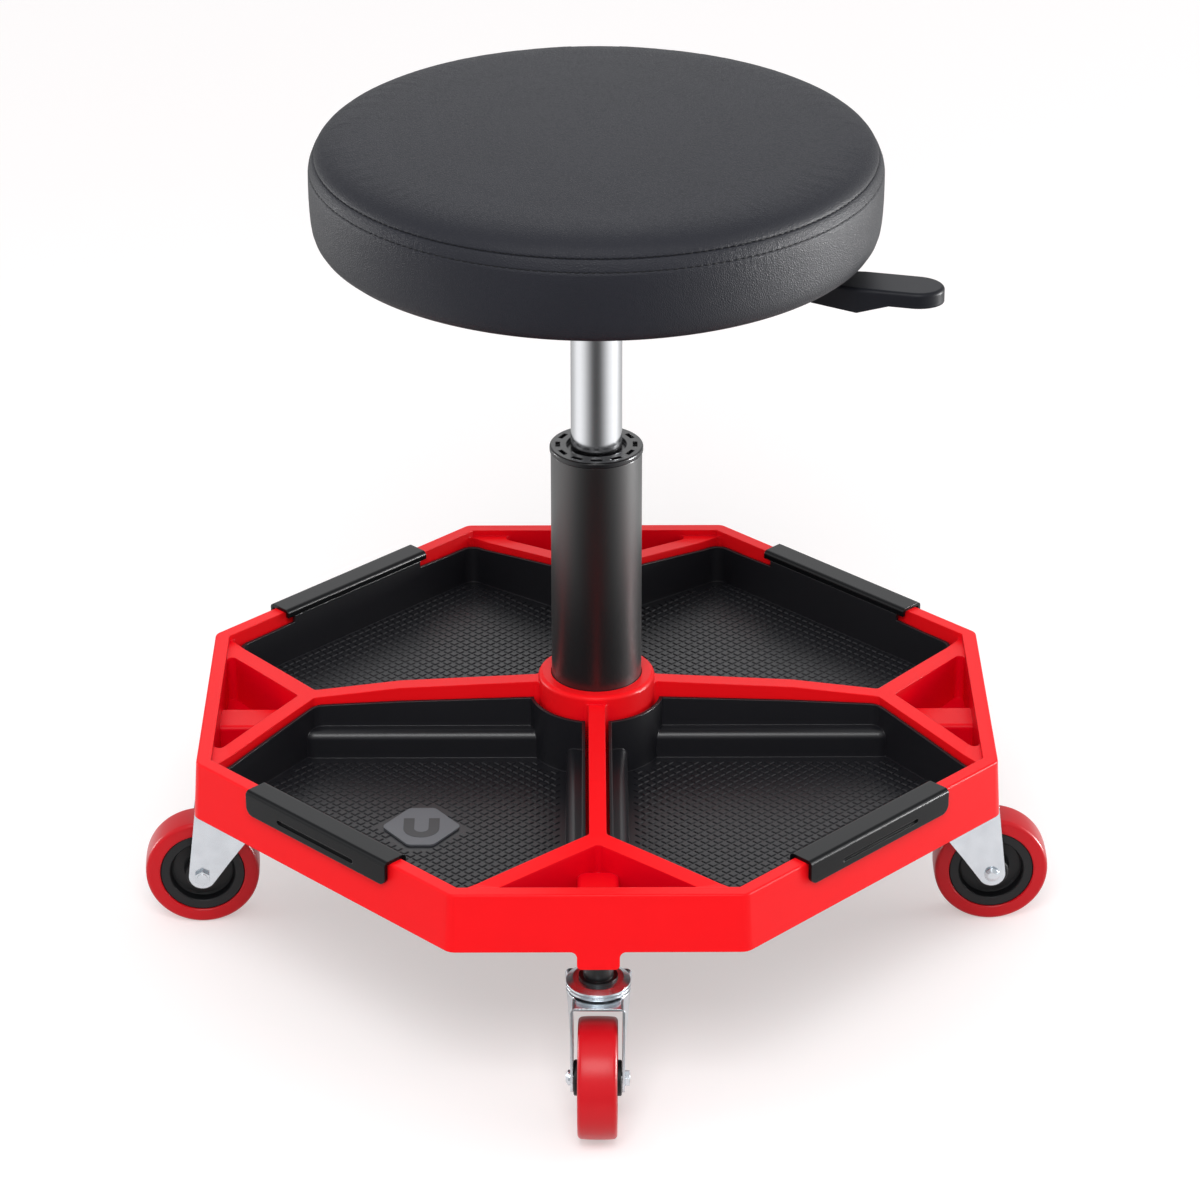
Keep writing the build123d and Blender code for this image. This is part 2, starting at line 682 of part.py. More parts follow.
def make_gas_cylinder():
    """The bright cylinder that slides in the bush, its tapered neck, the gland at its foot and its button."""
    with BuildPart() as gas_cylinder:
        with BuildSketch(Plane.XZ):
            with BuildLine():
                Polyline(
                    (gas_radius, cylinder_bottom), (cylinder_radius, cylinder_bottom),
                    (cylinder_radius, cylinder_top - cylinder_neck), (cylinder_neck_radius, cylinder_top),
                    (button_radius + fit_gap, cylinder_top),
                    (button_radius + fit_gap, cylinder_top - button_bore_depth),
                    (0, cylinder_top - button_bore_depth), (0, cylinder_top - cylinder_head),
                    (gas_radius, cylinder_top - cylinder_head), (gas_radius, cylinder_bottom),
                )
            make_face()
        revolve(axis=Axis.Z)
    gas_cylinder.part.label = "gas_cylinder"
    export_step(gas_cylinder.part, "parts/gas_cylinder.step")

    with BuildPart() as rod_gland:
        with BuildSketch(Plane.XY.offset(cylinder_bottom)):
            Circle(gas_radius - bond_gap)
            Circle(rod_radius + fit_gap, mode=Mode.SUBTRACT)
        extrude(amount=gland_length)
    rod_gland.part.label = "rod_gland"
    export_step(rod_gland.part, "parts/rod_gland.step")

    with BuildPart() as release_button:
        with BuildSketch(Plane.XY.offset(cylinder_top - button_bore_depth / 2)):
            Circle(button_radius)
        extrude(amount=button_stand + button_bore_depth / 2)
        fillet(release_button.faces().sort_by(Axis.Z)[-1].edges(), button_radius / 2)
    release_button.part.label = "release_button"
    export_step(release_button.part, "parts/release_button.step")


# Seat
def make_seat():
    """The plywood board and the padded cushion whose cover is turned in under it."""
    screw_side = screw_spacing / 2
    with BuildPart() as seat_board:
        with BuildSketch(level(board_bottom, lever_angle)):
            Circle(board_radius)
            with GridLocations(2 * screw_side, 2 * screw_side, 2, 2):
                Circle(screw_radius + bond_gap, mode=Mode.SUBTRACT)
        extrude(amount=board_height)
    seat_board.part.label = "seat_board"
    export_step(seat_board.part, "parts/seat_board.step")

    board_top = board_bottom + board_height
    pocket = board_radius + rest_gap
    hem = board_bottom - cover_sheet
    with BuildPart() as seat_cushion:
        with BuildSketch(Plane.XZ) as outline:
            with BuildLine():
                crown_edge = (seat_radius - seat_shoulder, seat_seam + seat_shoulder_drop)
                Polyline(
                    (0, seat_top), (0, board_top), (pocket, board_top), (pocket, board_bottom),
                    (cover_turn_in, board_bottom), (cover_turn_in, hem), (cover_wrap_start, hem),
                    (cover_wrap_start + cover_wrap, seat_bottom), (seat_radius, seat_bottom), (seat_radius, seat_seam),
                )
                crown = TangentArc((0, seat_top), crown_edge, tangent=(1, 0))
                TangentArc(crown_edge, (seat_radius, seat_seam), tangent=crown % 1)
            make_face()
            fillet(outline.vertices().filter_by_position(Axis.Y, seat_bottom, seat_bottom).sort_by(Axis.X)[-1], seat_roll)
        revolve(axis=Axis.Z)
    seat_cushion.part.label = "seat_cushion"
    export_step(seat_cushion.part, "parts/seat_cushion.step")


def make_seat_plate():
    """The pressed steel plate: a flange screwed to the board, a folded channel and the socket for the neck."""
    screw_side = screw_spacing / 2
    pin_plane = along(lever_angle)
    with BuildPart() as seat_plate:
        with BuildSketch(level(plate_under, lever_angle)):
            RectangleRounded(plate_width, plate_width, plate_corner)
            with GridLocations(2 * screw_side, 2 * screw_side, 2, 2):
                Circle(screw_radius + rest_gap, mode=Mode.SUBTRACT)
        extrude(amount=plate_sheet)
        with BuildSketch(across(lever_angle, -channel_length / 2)) as channel:
            with Locations((0, (channel_bottom + plate_under) / 2)):
                Rectangle(channel_width, plate_under - channel_bottom)
            fillet(channel.vertices().group_by(Axis.Y)[0], channel_bend)
        extrude(amount=channel_length)
        with BuildSketch(across(lever_angle, -channel_length / 2 - overrun)) as hollow:
            with Locations((0, (channel_bottom + plate_sheet + plate_under) / 2)):
                Rectangle(channel_width - 2 * plate_sheet, plate_under - channel_bottom - plate_sheet)
            fillet(hollow.vertices().group_by(Axis.Y)[0], channel_bend - plate_sheet)
        extrude(amount=channel_length + 2 * overrun, mode=Mode.SUBTRACT)
        with BuildSketch(Plane.XY.offset(cylinder_top - cylinder_neck)):
            Circle(taper_socket_radius)
        extrude(amount=cylinder_neck - taper_socket_drop)
        with BuildSketch(Plane.XZ):
            with BuildLine():
                Polyline(
                    (0, cylinder_top - cylinder_neck), (cylinder_radius + bond_gap, cylinder_top - cylinder_neck),
                    (cylinder_neck_radius + bond_gap, cylinder_top), (0, cylinder_top),
                    (0, cylinder_top - cylinder_neck),
                )
            make_face()
        revolve(axis=Axis.Z, mode=Mode.SUBTRACT)
        with BuildSketch(pin_plane):
            with Locations((lever_pin_reach, lever_height)):
                Circle(lever_pin_radius + bond_gap)
        extrude(amount=channel_width, both=True, mode=Mode.SUBTRACT)
    seat_plate.part.label = "seat_plate"
    export_step(seat_plate.part, "parts/seat_plate.step")

    with BuildPart() as plate_screws:
        with BuildSketch(level(plate_under - screw_head, lever_angle)):
            with GridLocations(2 * screw_side, 2 * screw_side, 2, 2):
                Circle(screw_head_radius)
        extrude(amount=screw_head)
        fillet(plate_screws.faces().group_by(Axis.Z)[0].edges(), screw_head / 2)
        with BuildSketch(level(plate_under, lever_angle)):
            with GridLocations(2 * screw_side, 2 * screw_side, 2, 2):
                Circle(screw_radius)
        extrude(amount=screw_length)
    plate_screws.part.label = "plate_screws"
    export_step(plate_screws.part, "parts/plate_screws.step")


# Height lever
def make_lever():
    """The cranked rod that presses the button, its pivot pin, and the moulded handle at its end."""
    side = along(lever_angle)
    with BuildPart() as lift_lever:
        with BuildLine(side) as route:
            FilletPolyline(
                (-lever_tail, lever_height), (lever_bend_start, lever_height), (lever_bend_end, handle_height),
                (handle_start + handle_socket, handle_height), radius=lever_bend,
            )
        with BuildSketch(Plane(origin=route.line @ 0, z_dir=route.line % 0)):
            Circle(lever_rod_radius)
        sweep(path=route.line)
        with BuildSketch(side):
            with Locations((lever_pin_reach, lever_height)):
                Circle(lever_eye_radius)
        extrude(amount=lever_eye_width / 2, both=True)
        with BuildSketch(side):
            with Locations((lever_pin_reach, lever_height)):
                Circle(lever_pin_radius + fit_gap)
        extrude(amount=lever_eye_width, both=True, mode=Mode.SUBTRACT)
    lift_lever.part.label = "lift_lever"
    export_step(lift_lever.part, "parts/lift_lever.step")

    with BuildPart() as lever_pin:
        with BuildSketch(side):
            with Locations((lever_pin_reach, lever_height)):
                Circle(lever_pin_radius)
        extrude(amount=channel_width / 2 + lever_pin_radius, both=True)
    lever_pin.part.label = "lever_pin"
    export_step(lever_pin.part, "parts/lever_pin.step")

    top = handle_height + handle_top + handle_under / 2
    under = handle_height - handle_under
    with BuildPart() as lever_handle:
        with BuildSketch(side):
            with BuildLine():
                Polyline(
                    (handle_start, top), (handle_end, top), (handle_end, under), (handle_knee + handle_knee_run, under),
                    (handle_knee, handle_height - handle_knee_drop), (handle_start, under - handle_edge),
                    (handle_start, top),
                )
            make_face()
        extrude(amount=handle_width / 2, both=True)
        with BuildSketch(level(under - handle_knee_drop, lever_angle)):
            with Locations(((handle_knee + handle_end - handle_tip) / 2, 0)):
                Rectangle(handle_end - handle_tip - handle_knee, handle_width)
            with Locations((handle_end - handle_tip, 0)):
                Ellipse(handle_tip, handle_width / 2)
            with BuildLine():
                Polyline(
                    (handle_start, -handle_root_width / 2), (handle_knee, -handle_width / 2),
                    (handle_knee, handle_width / 2), (handle_start, handle_root_width / 2),
                    (handle_start, -handle_root_width / 2),
                )
            make_face()
        extrude(amount=top - under + 2 * handle_knee_drop, mode=Mode.INTERSECT)
        fillet(lever_handle.faces().sort_by(Axis.Z)[-1].edges(), handle_edge)
        with BuildSketch(across(lever_angle, handle_start)):
            with Locations((0, handle_height)):
                Circle(lever_rod_radius + bond_gap)
        extrude(amount=handle_socket, mode=Mode.SUBTRACT)
    lever_handle.part.label = "lever_handle"
    export_step(lever_handle.part, "parts/lever_handle.step")


# Casters
def caster_level(height, side, reach=0):
    """A level plane over a caster's stem, or at a reach from it, with x the way the caster trails."""
    stem = outward(casters[side]) * caster_radius
    trail = outward(casters[side] + caster_turns[side])
    return Plane(origin=stem + trail * reach + Vector(0, 0, height), x_dir=trail, z_dir=(0, 0, 1))


def caster_upright(side):
    """An upright plane through a caster's stem that holds the way it trails, with x outwards and y up."""
    stem = caster_level(0, side)
    return Plane(origin=stem.origin, x_dir=stem.x_dir, z_dir=(stem.x_dir.Y, -stem.x_dir.X, 0))


def fork_outline(inset):
    """The fork's legs and crown seen from above, drawn smaller by an inset: straight in front, flared behind."""
    half = fork_width / 2 - inset
    with BuildSketch() as outline:
        with BuildLine():
            Polyline(
                (-fork_back, -half - fork_flare), (fork_fold, -half), (fork_leg_front, -half), (fork_leg_front, half),
                (fork_fold, half), (-fork_back, half + fork_flare), (-fork_back, -half - fork_flare),
            )
        make_face()
    return outline.sketch


def make_caster_mounting(side, angle):
    """What stays with the base: the stem with its riveted head, the collar over it and the upper ball cup."""
    stem_name = f"caster_stem_{side}"
    with BuildPart() as stem:
        with BuildSketch(level(fork_under - rest_gap - stem_head, angle, caster_radius)):
            Circle(stem_head_radius)
        extrude(amount=stem_head)
        with BuildSketch(level(fork_under - rest_gap - stem_head, angle, caster_radius)):
            Circle(stem_radius)
        extrude(amount=beam_bottom + stem_depth - rest_gap - fork_under + rest_gap + stem_head)
    stem.part.label = stem_name
    export_step(stem.part, f"parts/{stem_name}.step")

    collar_name = f"caster_collar_{side}"
    with BuildPart() as collar:
        with BuildSketch(level(cup_top, angle, caster_radius)):
            Circle(collar_radius)
        extrude(amount=beam_bottom - cup_top)
        with BuildSketch(level(cup_top, angle, caster_radius)):
            Circle(collar_flange_radius)
        extrude(amount=collar_flange)
        with BuildSketch(level(cup_top, angle, caster_radius)):
            Circle(stem_radius + bond_gap)
        extrude(amount=beam_bottom - cup_top, mode=Mode.SUBTRACT)
    collar.part.label = collar_name
    export_step(collar.part, f"parts/{collar_name}.step")

    cup_name = f"caster_cup_{side}"
    bore = stem_radius + bond_gap
    roof = cup_top - cup_sheet
    groove_top = cup_top - cup_groove_drop
    with BuildPart() as cup:
        with BuildSketch(along(angle, caster_radius)):
            with BuildLine():
                Polyline(
                    (bore, cup_top), (cup_radius - cup_slope, cup_top), (cup_radius, cup_top - cup_slope / 2),
                    (cup_radius, groove_top), (cup_radius - cup_groove, groove_top),
                    (cup_radius - cup_groove, groove_top - cup_groove), (cup_radius, groove_top - cup_groove),
                    (cup_radius, cup_top - cup_skirt), (cup_radius - cup_sheet, cup_top - cup_skirt),
                    (cup_radius - cup_sheet, roof - cup_slope / 2), (cup_radius - cup_slope, roof),
                    (bore, roof), (bore, cup_top),
                )
            make_face()
        revolve(axis=Axis(outward(angle) * caster_radius, (0, 0, 1)))
    cup.part.label = cup_name
    export_step(cup.part, f"parts/{cup_name}.step")


def make_caster_balls():
    """The ball rings of all four casters, which run between each fork and its cup."""
    with BuildPart() as balls:
        for angle in casters.values():
            with Locations(level(fork_top + caster_ball_radius, angle, caster_radius)):
                with PolarLocations(caster_ball_pitch, caster_balls):
                    Sphere(caster_ball_radius - fit_gap)
    balls.part.label = "caster_balls"
    export_step(balls.part, "parts/caster_balls.step")


def make_caster_fork(side):
    """The pressed fork: a flat crown with a round ball track, and two legs that lean out to the axle."""
    name = f"caster_fork_{side}"
    upright = caster_upright(side)
    with BuildPart() as fork:
        with BuildSketch(caster_level(0, side)):
            add(fork_outline(0))
        extrude(amount=fork_top)
        crown_edges = fork.faces().sort_by(Axis.Z)[-1].edges().sort_by(Edge.length)
        fillet(crown_edges[:4], fork_bend)
        with BuildSketch(caster_level(0, side)):
            add(fork_outline(fork_sheet))
            with Locations((-fork_back, 0)):
                Rectangle(overrun, fork_width)
            with Locations((fork_leg_front, 0)):
                Rectangle(overrun, fork_width - 2 * fork_sheet)
        extrude(amount=fork_under, mode=Mode.SUBTRACT)
        with BuildSketch(upright):
            with Locations((caster_trail, wheel_radius)):
                Circle(fork_end_radius)
            with Locations(((fork_front - fork_back) / 2, fork_top - fork_shoulder / 2)):
                Rectangle(fork_front + fork_back, fork_shoulder)
            make_hull()
        extrude(amount=fork_width, both=True, mode=Mode.INTERSECT)
        with BuildSketch(caster_level(fork_under, side)):
            Circle(fork_disc_radius)
        extrude(amount=fork_sheet)
        with BuildSketch(caster_level(fork_under, side)):
            Circle(stem_radius + fit_gap)
        extrude(amount=fork_sheet, mode=Mode.SUBTRACT)
        with BuildSketch(upright):
            with Locations((caster_trail, wheel_radius)):
                Circle(axle_radius + bond_gap)
        extrude(amount=fork_width, both=True, mode=Mode.SUBTRACT)
    fork.part.label = name
    export_step(fork.part, f"parts/{name}.step")


def make_caster_wheel(side):
    """The axle bolt and nut, the hub that runs on it and the tyre moulded round the hub."""
    middle = caster_level(wheel_radius, side, caster_trail)
    axle = Axis(middle.origin, middle.y_dir)
    axle_name = f"caster_axle_{side}"
    head = (axle_length - fork_width) / 2
    nut_plane = Plane(origin=middle.origin + middle.y_dir * (fork_width / 2), x_dir=(0, 0, 1), z_dir=middle.y_dir)
    with BuildPart() as axle_set:
        with BuildSketch(middle):
            with BuildLine():
                Polyline(
                    (0, -axle_length / 2), (axle_head_radius / 2, -axle_length / 2),
                    (axle_head_radius, -fork_width / 2 - head / 2), (axle_head_radius, -fork_width / 2),
                    (axle_radius, -fork_width / 2), (axle_radius, axle_length / 2), (0, axle_length / 2),
                    (0, -axle_length / 2),
                )
            make_face()
        revolve(axis=axle)
        with BuildSketch(nut_plane):
            RegularPolygon(axle_nut_width / 2, 6, major_radius=False)
            Circle(axle_radius + bond_gap, mode=Mode.SUBTRACT)
        extrude(amount=axle_nut)
    axle_set.part.label = axle_name
    export_step(axle_set.part, f"parts/{axle_name}.step")

    hub_name = f"caster_hub_{side}"
    hub_rim = wheel_radius - tyre_depth
    rim_face = tyre_width / 2 - hub_rim_inset
    with BuildPart() as hub:
        with BuildSketch(middle) as profile:
            with BuildLine():
                Polyline(
                    (axle_radius + fit_gap, 0), (axle_radius + fit_gap, hub_length / 2),
                    (hub_boss_radius, hub_length / 2), (hub_boss_radius, hub_web / 2),
                    (hub_recess_radius, hub_web / 2), (hub_recess_radius, rim_face), (hub_rim, rim_face), (hub_rim, 0),
                    (axle_radius + fit_gap, 0),
                )
            make_face()
            mirror(about=Plane.XZ)
        revolve(axis=axle)
    hub.part.label = hub_name
    export_step(hub.part, f"parts/{hub_name}.step")

    tyre_name = f"caster_tyre_{side}"
    with BuildPart() as tyre:
        with BuildSketch(middle) as profile:
            with Locations(((hub_rim + bond_gap + wheel_radius) / 2, 0)):
                Rectangle(tyre_depth - bond_gap, tyre_width)
            fillet(profile.vertices().group_by(Axis.X)[-1], tyre_shoulder)
        revolve(axis=axle)
    tyre.part.label = tyre_name
    export_step(tyre.part, f"parts/{tyre_name}.step")


make_base_frame()
for tray_side, tray_start in trays.items():
    make_tray(f"tray_{tray_side}", tray_start)
    make_clip(f"tray_clip_{tray_side}", tray_start)
make_tray_magnet()
make_column_tube()
make_guide_bush()
make_races()
make_piston_rod()
make_gas_cylinder()
make_seat()
make_seat_plate()
make_lever()
make_caster_balls()
for caster_side, caster_angle in casters.items():
    make_caster_mounting(caster_side, caster_angle)
    make_caster_fork(caster_side)
    make_caster_wheel(caster_side)
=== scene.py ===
import json
import math

import bmesh
import bpy
from bpy.props import FloatProperty, FloatVectorProperty, IntProperty, PointerProperty
from mathutils import Matrix, Vector
from mathutils.bvhtree import BVHTree

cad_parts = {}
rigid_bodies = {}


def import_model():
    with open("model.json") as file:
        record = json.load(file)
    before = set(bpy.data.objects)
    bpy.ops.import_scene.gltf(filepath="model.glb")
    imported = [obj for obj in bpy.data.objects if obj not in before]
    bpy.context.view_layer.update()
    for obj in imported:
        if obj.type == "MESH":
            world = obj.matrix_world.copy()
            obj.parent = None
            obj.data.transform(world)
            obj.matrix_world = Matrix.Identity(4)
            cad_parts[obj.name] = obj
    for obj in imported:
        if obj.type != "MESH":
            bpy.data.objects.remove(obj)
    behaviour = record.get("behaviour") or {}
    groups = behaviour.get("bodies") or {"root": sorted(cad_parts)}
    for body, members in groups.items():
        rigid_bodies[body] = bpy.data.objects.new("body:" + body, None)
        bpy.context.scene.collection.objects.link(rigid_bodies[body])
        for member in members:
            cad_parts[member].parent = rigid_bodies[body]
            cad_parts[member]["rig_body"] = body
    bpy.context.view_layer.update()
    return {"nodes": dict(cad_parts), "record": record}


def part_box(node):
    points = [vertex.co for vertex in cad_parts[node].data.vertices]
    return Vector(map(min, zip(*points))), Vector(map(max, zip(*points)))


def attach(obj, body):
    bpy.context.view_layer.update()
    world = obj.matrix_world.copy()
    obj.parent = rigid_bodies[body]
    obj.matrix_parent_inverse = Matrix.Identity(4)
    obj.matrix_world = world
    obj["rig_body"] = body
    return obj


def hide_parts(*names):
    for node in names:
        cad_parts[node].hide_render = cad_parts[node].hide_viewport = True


bl_info = {
    "name": "Rolling Work Stool",
    "version": (1, 0, 0),
    "blender": (4, 5, 0),
    "location": "View3D > Sidebar > Work Stool",
    "description": "Dresses a rolling work stool with padded seat, gas lift, tool trays and casters",
    "category": "Object",
}

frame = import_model()
nodes = frame["nodes"]

MM = 0.001
UPPER_SEAM = -12.3 * MM  # the two rows of stitches, from the seat's top
LOWER_SEAM = -18.6 * MM
CASTER_SIDES = ("right", "back", "left", "front")
TRAY_SIDES = {"back_right": 45, "back_left": 135, "front_left": 225, "front_right": 315}  # degrees from +X
TUBE_STEPS = 192  # flat steps round a turned tube
WHEEL_STEPS = 128
# The colour sockets of a Mix node, which share their names with its number sockets.
MIX_FIRST, MIX_SECOND, MIX_RESULT = 6, 7, 2


def linear(hex_colour):
    """The linear colour, with alpha, of an sRGB hex value."""
    channels = [int(hex_colour[i:i + 2], 16) / 255 for i in (0, 2, 4)]
    return [c / 12.92 if c <= 0.04045 else ((c + 0.055) / 1.055) ** 2.4 for c in channels] + [1.0]


def add_node(tree, kind, inputs=None, **settings):
    """Adds a node, sets its properties, and sets or links its inputs."""
    node = tree.nodes.new(kind)
    for name, value in settings.items():
        setattr(node, name, value)
    for socket, value in (inputs or {}).items():
        if isinstance(value, bpy.types.NodeSocket):
            tree.links.new(value, node.inputs[socket])
        else:
            node.inputs[socket].default_value = value
    return node


class StoolSizes(bpy.types.PropertyGroup):
    """Sizes of the pieces that are modelled here."""

    stitch_count: IntProperty(
        name="Stitches", description="Stitches in each row round the seat", default=228, min=24)
    stitch_length: FloatProperty(
        name="Stitch length", description="Visible length of a stitch", default=3.0 * MM, unit="LENGTH")
    thread_width: FloatProperty(
        name="Thread width", description="Width of the sewing thread", default=0.7 * MM, unit="LENGTH")
    grip_pitch: FloatProperty(
        name="Grip pitch", description="Distance between the raised pads of the tray floors",
        default=5.0 * MM, unit="LENGTH")
    grip_width: FloatProperty(
        name="Grip width", description="Width of a raised pad at its foot", default=4.1 * MM, unit="LENGTH")
    grip_height: FloatProperty(
        name="Grip height", description="Height of a raised pad", default=0.55 * MM, unit="LENGTH")


class StoolColours(bpy.types.PropertyGroup):
    """Colours of the main finishes, linear."""

    base: FloatVectorProperty(
        name="Base", description="Moulded base frame", subtype="COLOR", size=4, default=linear("FC121A"))
    tray: FloatVectorProperty(
        name="Trays", description="Moulded trays", subtype="COLOR", size=4, default=linear("19191D"))
    seat: FloatVectorProperty(
        name="Seat", description="Vinyl cover of the seat", subtype="COLOR", size=4, default=linear("212229"))
    tyre: FloatVectorProperty(
        name="Tyres", description="Polyurethane tyres", subtype="COLOR", size=4, default=linear("CC0A18"))
    column: FloatVectorProperty(
        name="Column", description="Powder coat of the column", subtype="COLOR", size=4,
        default=linear("0A0A0C"))
    clip: FloatVectorProperty(
        name="Clips", description="Coating of the tray clips", subtype="COLOR", size=4,
        default=linear("0A0B0D"))


# Materials
def start_material(name):
    """An empty material with its Principled shader and its place on the piece."""
    material = bpy.data.materials.new(name)
    material.use_nodes = True
    tree = material.node_tree
    tree.nodes.clear()
    shader = add_node(tree, "ShaderNodeBsdfPrincipled")
    add_node(tree, "ShaderNodeOutputMaterial", {"Surface": shader.outputs["BSDF"]})
    place = add_node(tree, "ShaderNodeTexCoord").outputs["Object"]
    return material, tree, shader, place


def surface(name, colour, roughness, metallic=0.0, specular=0.5, grain=0.6, depth=0.01, mottle=0.05, edge=0.7,
            stretch=(1, 1, 1)):
    """A plain finish. Its grain is so many mm wide and deep, and its edges look rounded by so many mm."""
    material, tree, shader, place = start_material(name)
    placed = add_node(tree, "ShaderNodeMapping", {"Vector": place, "Scale": stretch}).outputs["Vector"]
    grit = add_node(tree, "ShaderNodeTexNoise", {"Vector": placed, "Scale": 1 / (grain * MM), "Detail": 2.0})
    cloud = add_node(tree, "ShaderNodeTexNoise", {"Vector": placed, "Scale": 40.0, "Detail": 3.0})
    darker = [c * (1 - mottle) for c in colour[:3]] + [1.0]
    lighter = [min(c * (1 + mottle), 1.0) for c in colour[:3]] + [1.0]
    tone = add_node(tree, "ShaderNodeMix", {
        0: cloud.outputs["Fac"], MIX_FIRST: darker, MIX_SECOND: lighter}, data_type="RGBA")
    tree.links.new(tone.outputs[MIX_RESULT], shader.inputs["Base Color"])
    rough = add_node(tree, "ShaderNodeMapRange", {
        "Value": grit.outputs["Fac"], "To Min": roughness * 0.9, "To Max": min(roughness * 1.12, 1.0)})
    tree.links.new(rough.outputs["Result"], shader.inputs["Roughness"])
    shader.inputs["Metallic"].default_value = metallic
    shader.inputs["Specular IOR Level"].default_value = specular
    rounded = add_node(tree, "ShaderNodeBevel", {"Radius": edge * MM}, samples=10)
    bump = add_node(tree, "ShaderNodeBump", {
        "Height": grit.outputs["Fac"], "Distance": depth * MM, "Strength": 1.0,
        "Normal": rounded.outputs["Normal"]})
    tree.links.new(bump.outputs["Normal"], shader.inputs["Normal"])
    return material


def paint_recess_shade(material, colour, reach):
    """Paints shade into a material: turns its colour towards a deeper one in recesses narrower than a reach.
    """
    tree = material.node_tree
    shader = tree.nodes["Principled BSDF"]
    plain = shader.inputs["Base Color"].links[0].from_socket
    # Painted shade: the occlusion mask marks where the deeper colour goes.
    clear = add_node(tree, "ShaderNodeAmbientOcclusion", {"Distance": reach}, samples=8, only_local=True)
    share = add_node(tree, "ShaderNodeMapRange", {
        "Value": clear.outputs["AO"], "From Min": 0.35, "From Max": 0.85})
    tone = add_node(tree, "ShaderNodeMix", {
        0: share.outputs["Result"], MIX_FIRST: colour, MIX_SECOND: plain}, data_type="RGBA")
    tree.links.new(tone.outputs[MIX_RESULT], shader.inputs["Base Color"])


def vinyl(name, colour):
    """Grained upholstery vinyl: pebbles about 1.15 mm wide with fine creases between them."""
    pebble, fine_grain, wander = 1.15 * MM, 0.45 * MM, 1.1 * MM
    material, tree, shader, place = start_material(name)
    warp = add_node(tree, "ShaderNodeTexNoise", {"Vector": place, "Scale": 260.0, "Detail": 3.0})
    shifted = add_node(tree, "ShaderNodeVectorMath", {
        0: warp.outputs["Color"], 1: (wander, wander, wander)}, operation="MULTIPLY")
    moved = add_node(tree, "ShaderNodeVectorMath", {0: place, 1: shifted.outputs["Vector"]}, operation="ADD")
    pebbles = add_node(tree, "ShaderNodeTexVoronoi", {
        "Vector": moved.outputs["Vector"], "Scale": 1 / pebble}, feature="DISTANCE_TO_EDGE")
    crease = add_node(tree, "ShaderNodeMapRange", {"Value": pebbles.outputs["Distance"], "From Max": 0.32})
    fine = add_node(tree, "ShaderNodeTexNoise", {"Vector": place, "Scale": 1 / fine_grain, "Detail": 2.0})
    cloud = add_node(tree, "ShaderNodeTexNoise", {"Vector": place, "Scale": 22.0, "Detail": 4.0})
    darker = [c * 0.9 for c in colour[:3]] + [1.0]
    lighter = [c * 1.12 for c in colour[:3]] + [1.0]
    tone = add_node(tree, "ShaderNodeMix", {
        0: cloud.outputs["Fac"], MIX_FIRST: darker, MIX_SECOND: lighter}, data_type="RGBA")
    tree.links.new(tone.outputs[MIX_RESULT], shader.inputs["Base Color"])
    rough = add_node(tree, "ShaderNodeMapRange", {
        "Value": crease.outputs["Result"], "To Min": 0.6, "To Max": 0.42})
    tree.links.new(rough.outputs["Result"], shader.inputs["Roughness"])
    deep = add_node(tree, "ShaderNodeBump", {
        "Height": crease.outputs["Result"], "Distance": 0.1 * MM, "Strength": 1.0})
    small = add_node(tree, "ShaderNodeBump", {
        "Height": fine.outputs["Fac"], "Distance": 0.02 * MM, "Strength": 1.0,
        "Normal": deep.outputs["Normal"]})
    tree.links.new(small.outputs["Normal"], shader.inputs["Normal"])
    shader.inputs["Specular IOR Level"].default_value = 0.24
    return material


def plywood(name):
    """Sanded birch plywood: long pale grain on the face and 1.5 mm layers on the edge."""
    material, tree, shader, place = start_material(name)
    drawn = add_node(tree, "ShaderNodeMapping", {"Vector": place, "Scale": (18.0, 180.0, 1.0)})
    grain = add_node(tree, "ShaderNodeTexNoise", {
        "Vector": drawn.outputs["Vector"], "Scale": 2.0, "Detail": 6.0})
    layers = add_node(tree, "ShaderNodeTexWave", {"Vector": place, "Scale": 100.0, "Distortion": 0.4},
                      bands_direction="Z")
    blend = add_node(tree, "ShaderNodeMath", {
        0: grain.outputs["Fac"], 1: layers.outputs["Fac"]}, operation="MULTIPLY")
    tone = add_node(tree, "ShaderNodeMix", {
        0: blend.outputs["Value"], MIX_FIRST: linear("A9814F"), MIX_SECOND: linear("E0BF8C")},
        data_type="RGBA")
    tree.links.new(tone.outputs[MIX_RESULT], shader.inputs["Base Color"])
    shader.inputs["Roughness"].default_value = 0.62
    bump = add_node(tree, "ShaderNodeBump", {"Height": grain.outputs["Fac"], "Distance": 0.05 * MM})
    tree.links.new(bump.outputs["Normal"], shader.inputs["Normal"])
    return material


